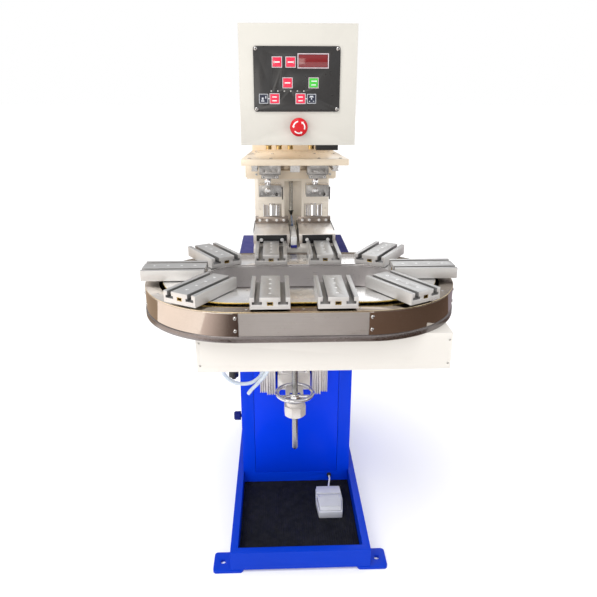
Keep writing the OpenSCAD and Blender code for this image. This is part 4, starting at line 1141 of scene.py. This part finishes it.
# ---------------------------------------------------------------- floor and light
def make_stage():
    t = Mat("floor", (0.82, 0.82, 0.82), 0.6)
    n = t.noise(1.6, 4)
    t.set(Base_Color=t.mix(t.rng(n, 0.3, 0.7, 0, 1), (0.87, 0.868, 0.865), (0.89, 0.89, 0.89)))
    t.b.inputs["Specular IOR Level"].default_value = 0.1
    t.set(Emission_Color=(1.0, 0.995, 0.985))
    t.b.inputs["Emission Strength"].default_value = 0.16
    bm = bmesh.new()
    bmesh.ops.create_grid(bm, x_segments=8, y_segments=8, size=55.0)
    me = bpy.data.meshes.new("floor")
    bm.to_mesh(me)
    bm.free()
    me.materials.append(t.m)
    o = link(bpy.data.objects.new("floor", me))

    # studio flags and reflectors: seen only in the polished metal
    def card(name, x0, x1, y0, y1, z, color, color2=None, strength=1.0):
        m = bpy.data.materials.new(name)
        m.use_nodes = True
        nt = m.node_tree
        nt.nodes.clear()
        e = nt.nodes.new("ShaderNodeEmission")
        e.inputs[0].default_value = (*color, 1)
        e.inputs[1].default_value = strength
        out = nt.nodes.new("ShaderNodeOutputMaterial")
        nt.links.new(e.outputs[0], out.inputs[0])
        if color2:                  # fades from the left edge to the right edge
            tx, sx = nt.nodes.new("ShaderNodeTexCoord"), nt.nodes.new("ShaderNodeSeparateXYZ")
            nt.links.new(tx.outputs["Object"], sx.inputs[0])
            mr = nt.nodes.new("ShaderNodeMapRange")
            mr.inputs["From Min"].default_value, mr.inputs["From Max"].default_value = x0, x1
            nt.links.new(sx.outputs[0], mr.inputs["Value"])
            mx = nt.nodes.new("ShaderNodeMix")
            mx.data_type = "RGBA"
            nt.links.new(mr.outputs[0], mx.inputs[0])
            mx.inputs[6].default_value, mx.inputs[7].default_value = (*color, 1), (*color2, 1)
            nt.links.new(mx.outputs[2], e.inputs[0])
        me = bpy.data.meshes.new(name)
        me.from_pydata([(x0, y0, z), (x1, y0, z), (x1, y1, z), (x0, y1, z)], [], [(0, 1, 2, 3)])
        me.materials.append(m)
        ob = link(bpy.data.objects.new(name, me))
        ob.visible_camera = False
        ob.visible_diffuse = False
        ob.visible_shadow = False
        ob.visible_transmission = False

    card("flag_middle", -0.29, 0.30, -3.6, -0.9, 0.010, (0.76, 0.69, 0.65))
    card("flag_front", -0.62, -0.29, -3.6, -1.1, 0.012, (0.20, 0.15, 0.13), (0.075, 0.045, 0.038))
    card("flag_front_side", -1.45, -0.62, -3.6, -1.1, 0.0125, (0.95, 0.78, 0.70), (0.20, 0.15, 0.13))
    card("flag_left", -4.6, -1.45, -3.0, 0.42, 0.011, (1.50, 1.18, 0.96), (1.45, 1.28, 1.16))
    card("flag_left_back", -4.2, -0.40, 0.42, 4.0, 0.012, (0.42, 0.28, 0.17), (0.50, 0.38, 0.28))
    card("flag_right", 0.30, 4.4, -3.6, 1.0, 0.012, (0.20, 0.125, 0.09), (0.035, 0.025, 0.018))
    card("flag_right_back", 0.30, 4.0, 1.0, 4.0, 0.012, (0.34, 0.29, 0.32))

    w = bpy.data.worlds.new("world")
    scene.world = w
    w.use_nodes = True
    nt = w.node_tree
    nt.nodes.clear()
    out = nt.nodes.new("ShaderNodeOutputWorld")
    tc = nt.nodes.new("ShaderNodeTexCoord")
    sep = nt.nodes.new("ShaderNodeSeparateXYZ")
    nt.links.new(tc.outputs["Generated"], sep.inputs[0])
    ramp = nt.nodes.new("ShaderNodeValToRGB")
    els = ramp.color_ramp.elements
    stops = [(0.0, (0.40, 0.34, 0.29)), (0.10, (0.50, 0.44, 0.40)), (0.24, (0.78, 0.76, 0.74)), (0.45, (0.86, 0.86, 0.88)), (0.75, (0.60, 0.61, 0.65)), (1.0, (0.50, 0.51, 0.55))]
    while len(els) < len(stops):
        els.new(0.5)
    for e, (p, c) in zip(els, stops):
        e.position = p
        e.color = (*c, 1)
    nt.links.new(sep.outputs[2], ramp.inputs[0])
    side = nt.nodes.new("ShaderNodeMapRange")
    side.inputs["From Min"].default_value = -0.9
    side.inputs["From Max"].default_value = 0.9
    side.inputs["To Min"].default_value = 1.18
    side.inputs["To Max"].default_value = 0.78
    nt.links.new(sep.outputs[0], side.inputs["Value"])
    mul = nt.nodes.new("ShaderNodeVectorMath")
    mul.operation = "SCALE"
    nt.links.new(ramp.outputs[0], mul.inputs[0])
    nt.links.new(side.outputs[0], mul.inputs["Scale"])
    env = nt.nodes.new("ShaderNodeBackground")
    nt.links.new(mul.outputs[0], env.inputs[0])
    env.inputs[1].default_value = 0.80
    white = nt.nodes.new("ShaderNodeBackground")
    white.inputs[0].default_value = (1, 1, 1, 1)
    white.inputs[1].default_value = 1.0
    lp = nt.nodes.new("ShaderNodeLightPath")
    mix = nt.nodes.new("ShaderNodeMixShader")
    nt.links.new(lp.outputs["Is Camera Ray"], mix.inputs[0])
    nt.links.new(env.outputs[0], mix.inputs[1])
    nt.links.new(white.outputs[0], mix.inputs[2])
    soft = nt.nodes.new("ShaderNodeBackground")
    soft.inputs[0].default_value = (0.985, 0.99, 1.0, 1)
    soft.inputs[1].default_value = 0.86
    mix2 = nt.nodes.new("ShaderNodeMixShader")
    nt.links.new(lp.outputs["Is Diffuse Ray"], mix2.inputs[0])
    nt.links.new(mix.outputs[0], mix2.inputs[1])
    nt.links.new(soft.outputs[0], mix2.inputs[2])
    nt.links.new(mix2.outputs[0], out.inputs[0])

    sun = bpy.data.lights.new("sun", "SUN")
    sun.energy = 1.25
    sun.angle = math.radians(40)
    sun.color = (1.0, 0.985, 0.965)
    so = link(bpy.data.objects.new("sun", sun))
    so.rotation_euler = Vector((0.34, 0.34, -0.88)).to_track_quat("-Z", "Y").to_euler()

    def area(name, loc, target, size, power, color=(1, 1, 1), size_y=None):
        l = bpy.data.lights.new(name, "AREA")
        l.energy = power
        l.color = color
        l.size = size
        if size_y:
            l.shape = "RECTANGLE"
            l.size_y = size_y
        ob = link(bpy.data.objects.new(name, l))
        ob.location = loc
        d = Vector(target) - Vector(loc)
        ob.rotation_euler = d.to_track_quat("-Z", "Y").to_euler()
        return ob

    area("key", (-1.9, -1.9, 2.2), (0, 0, 0.7), 1.0, 7, (1.0, 0.985, 0.96), 1.6)
    area("fill", (2.3, -1.2, 1.5), (0, 0, 0.7), 0.5, 3, (0.96, 0.98, 1.0), 1.6)
    area("head_fill", (-0.55, -1.7, 1.25), (0, 0, 0.95), 0.6, 2.6, (1.0, 0.96, 0.90))
    area("back", (0.6, 2.2, 2.2), (0, 0, 0.7), 1.4, 7, (1, 1, 1))
    scene.view_settings.view_transform = "Standard"


make_stage()
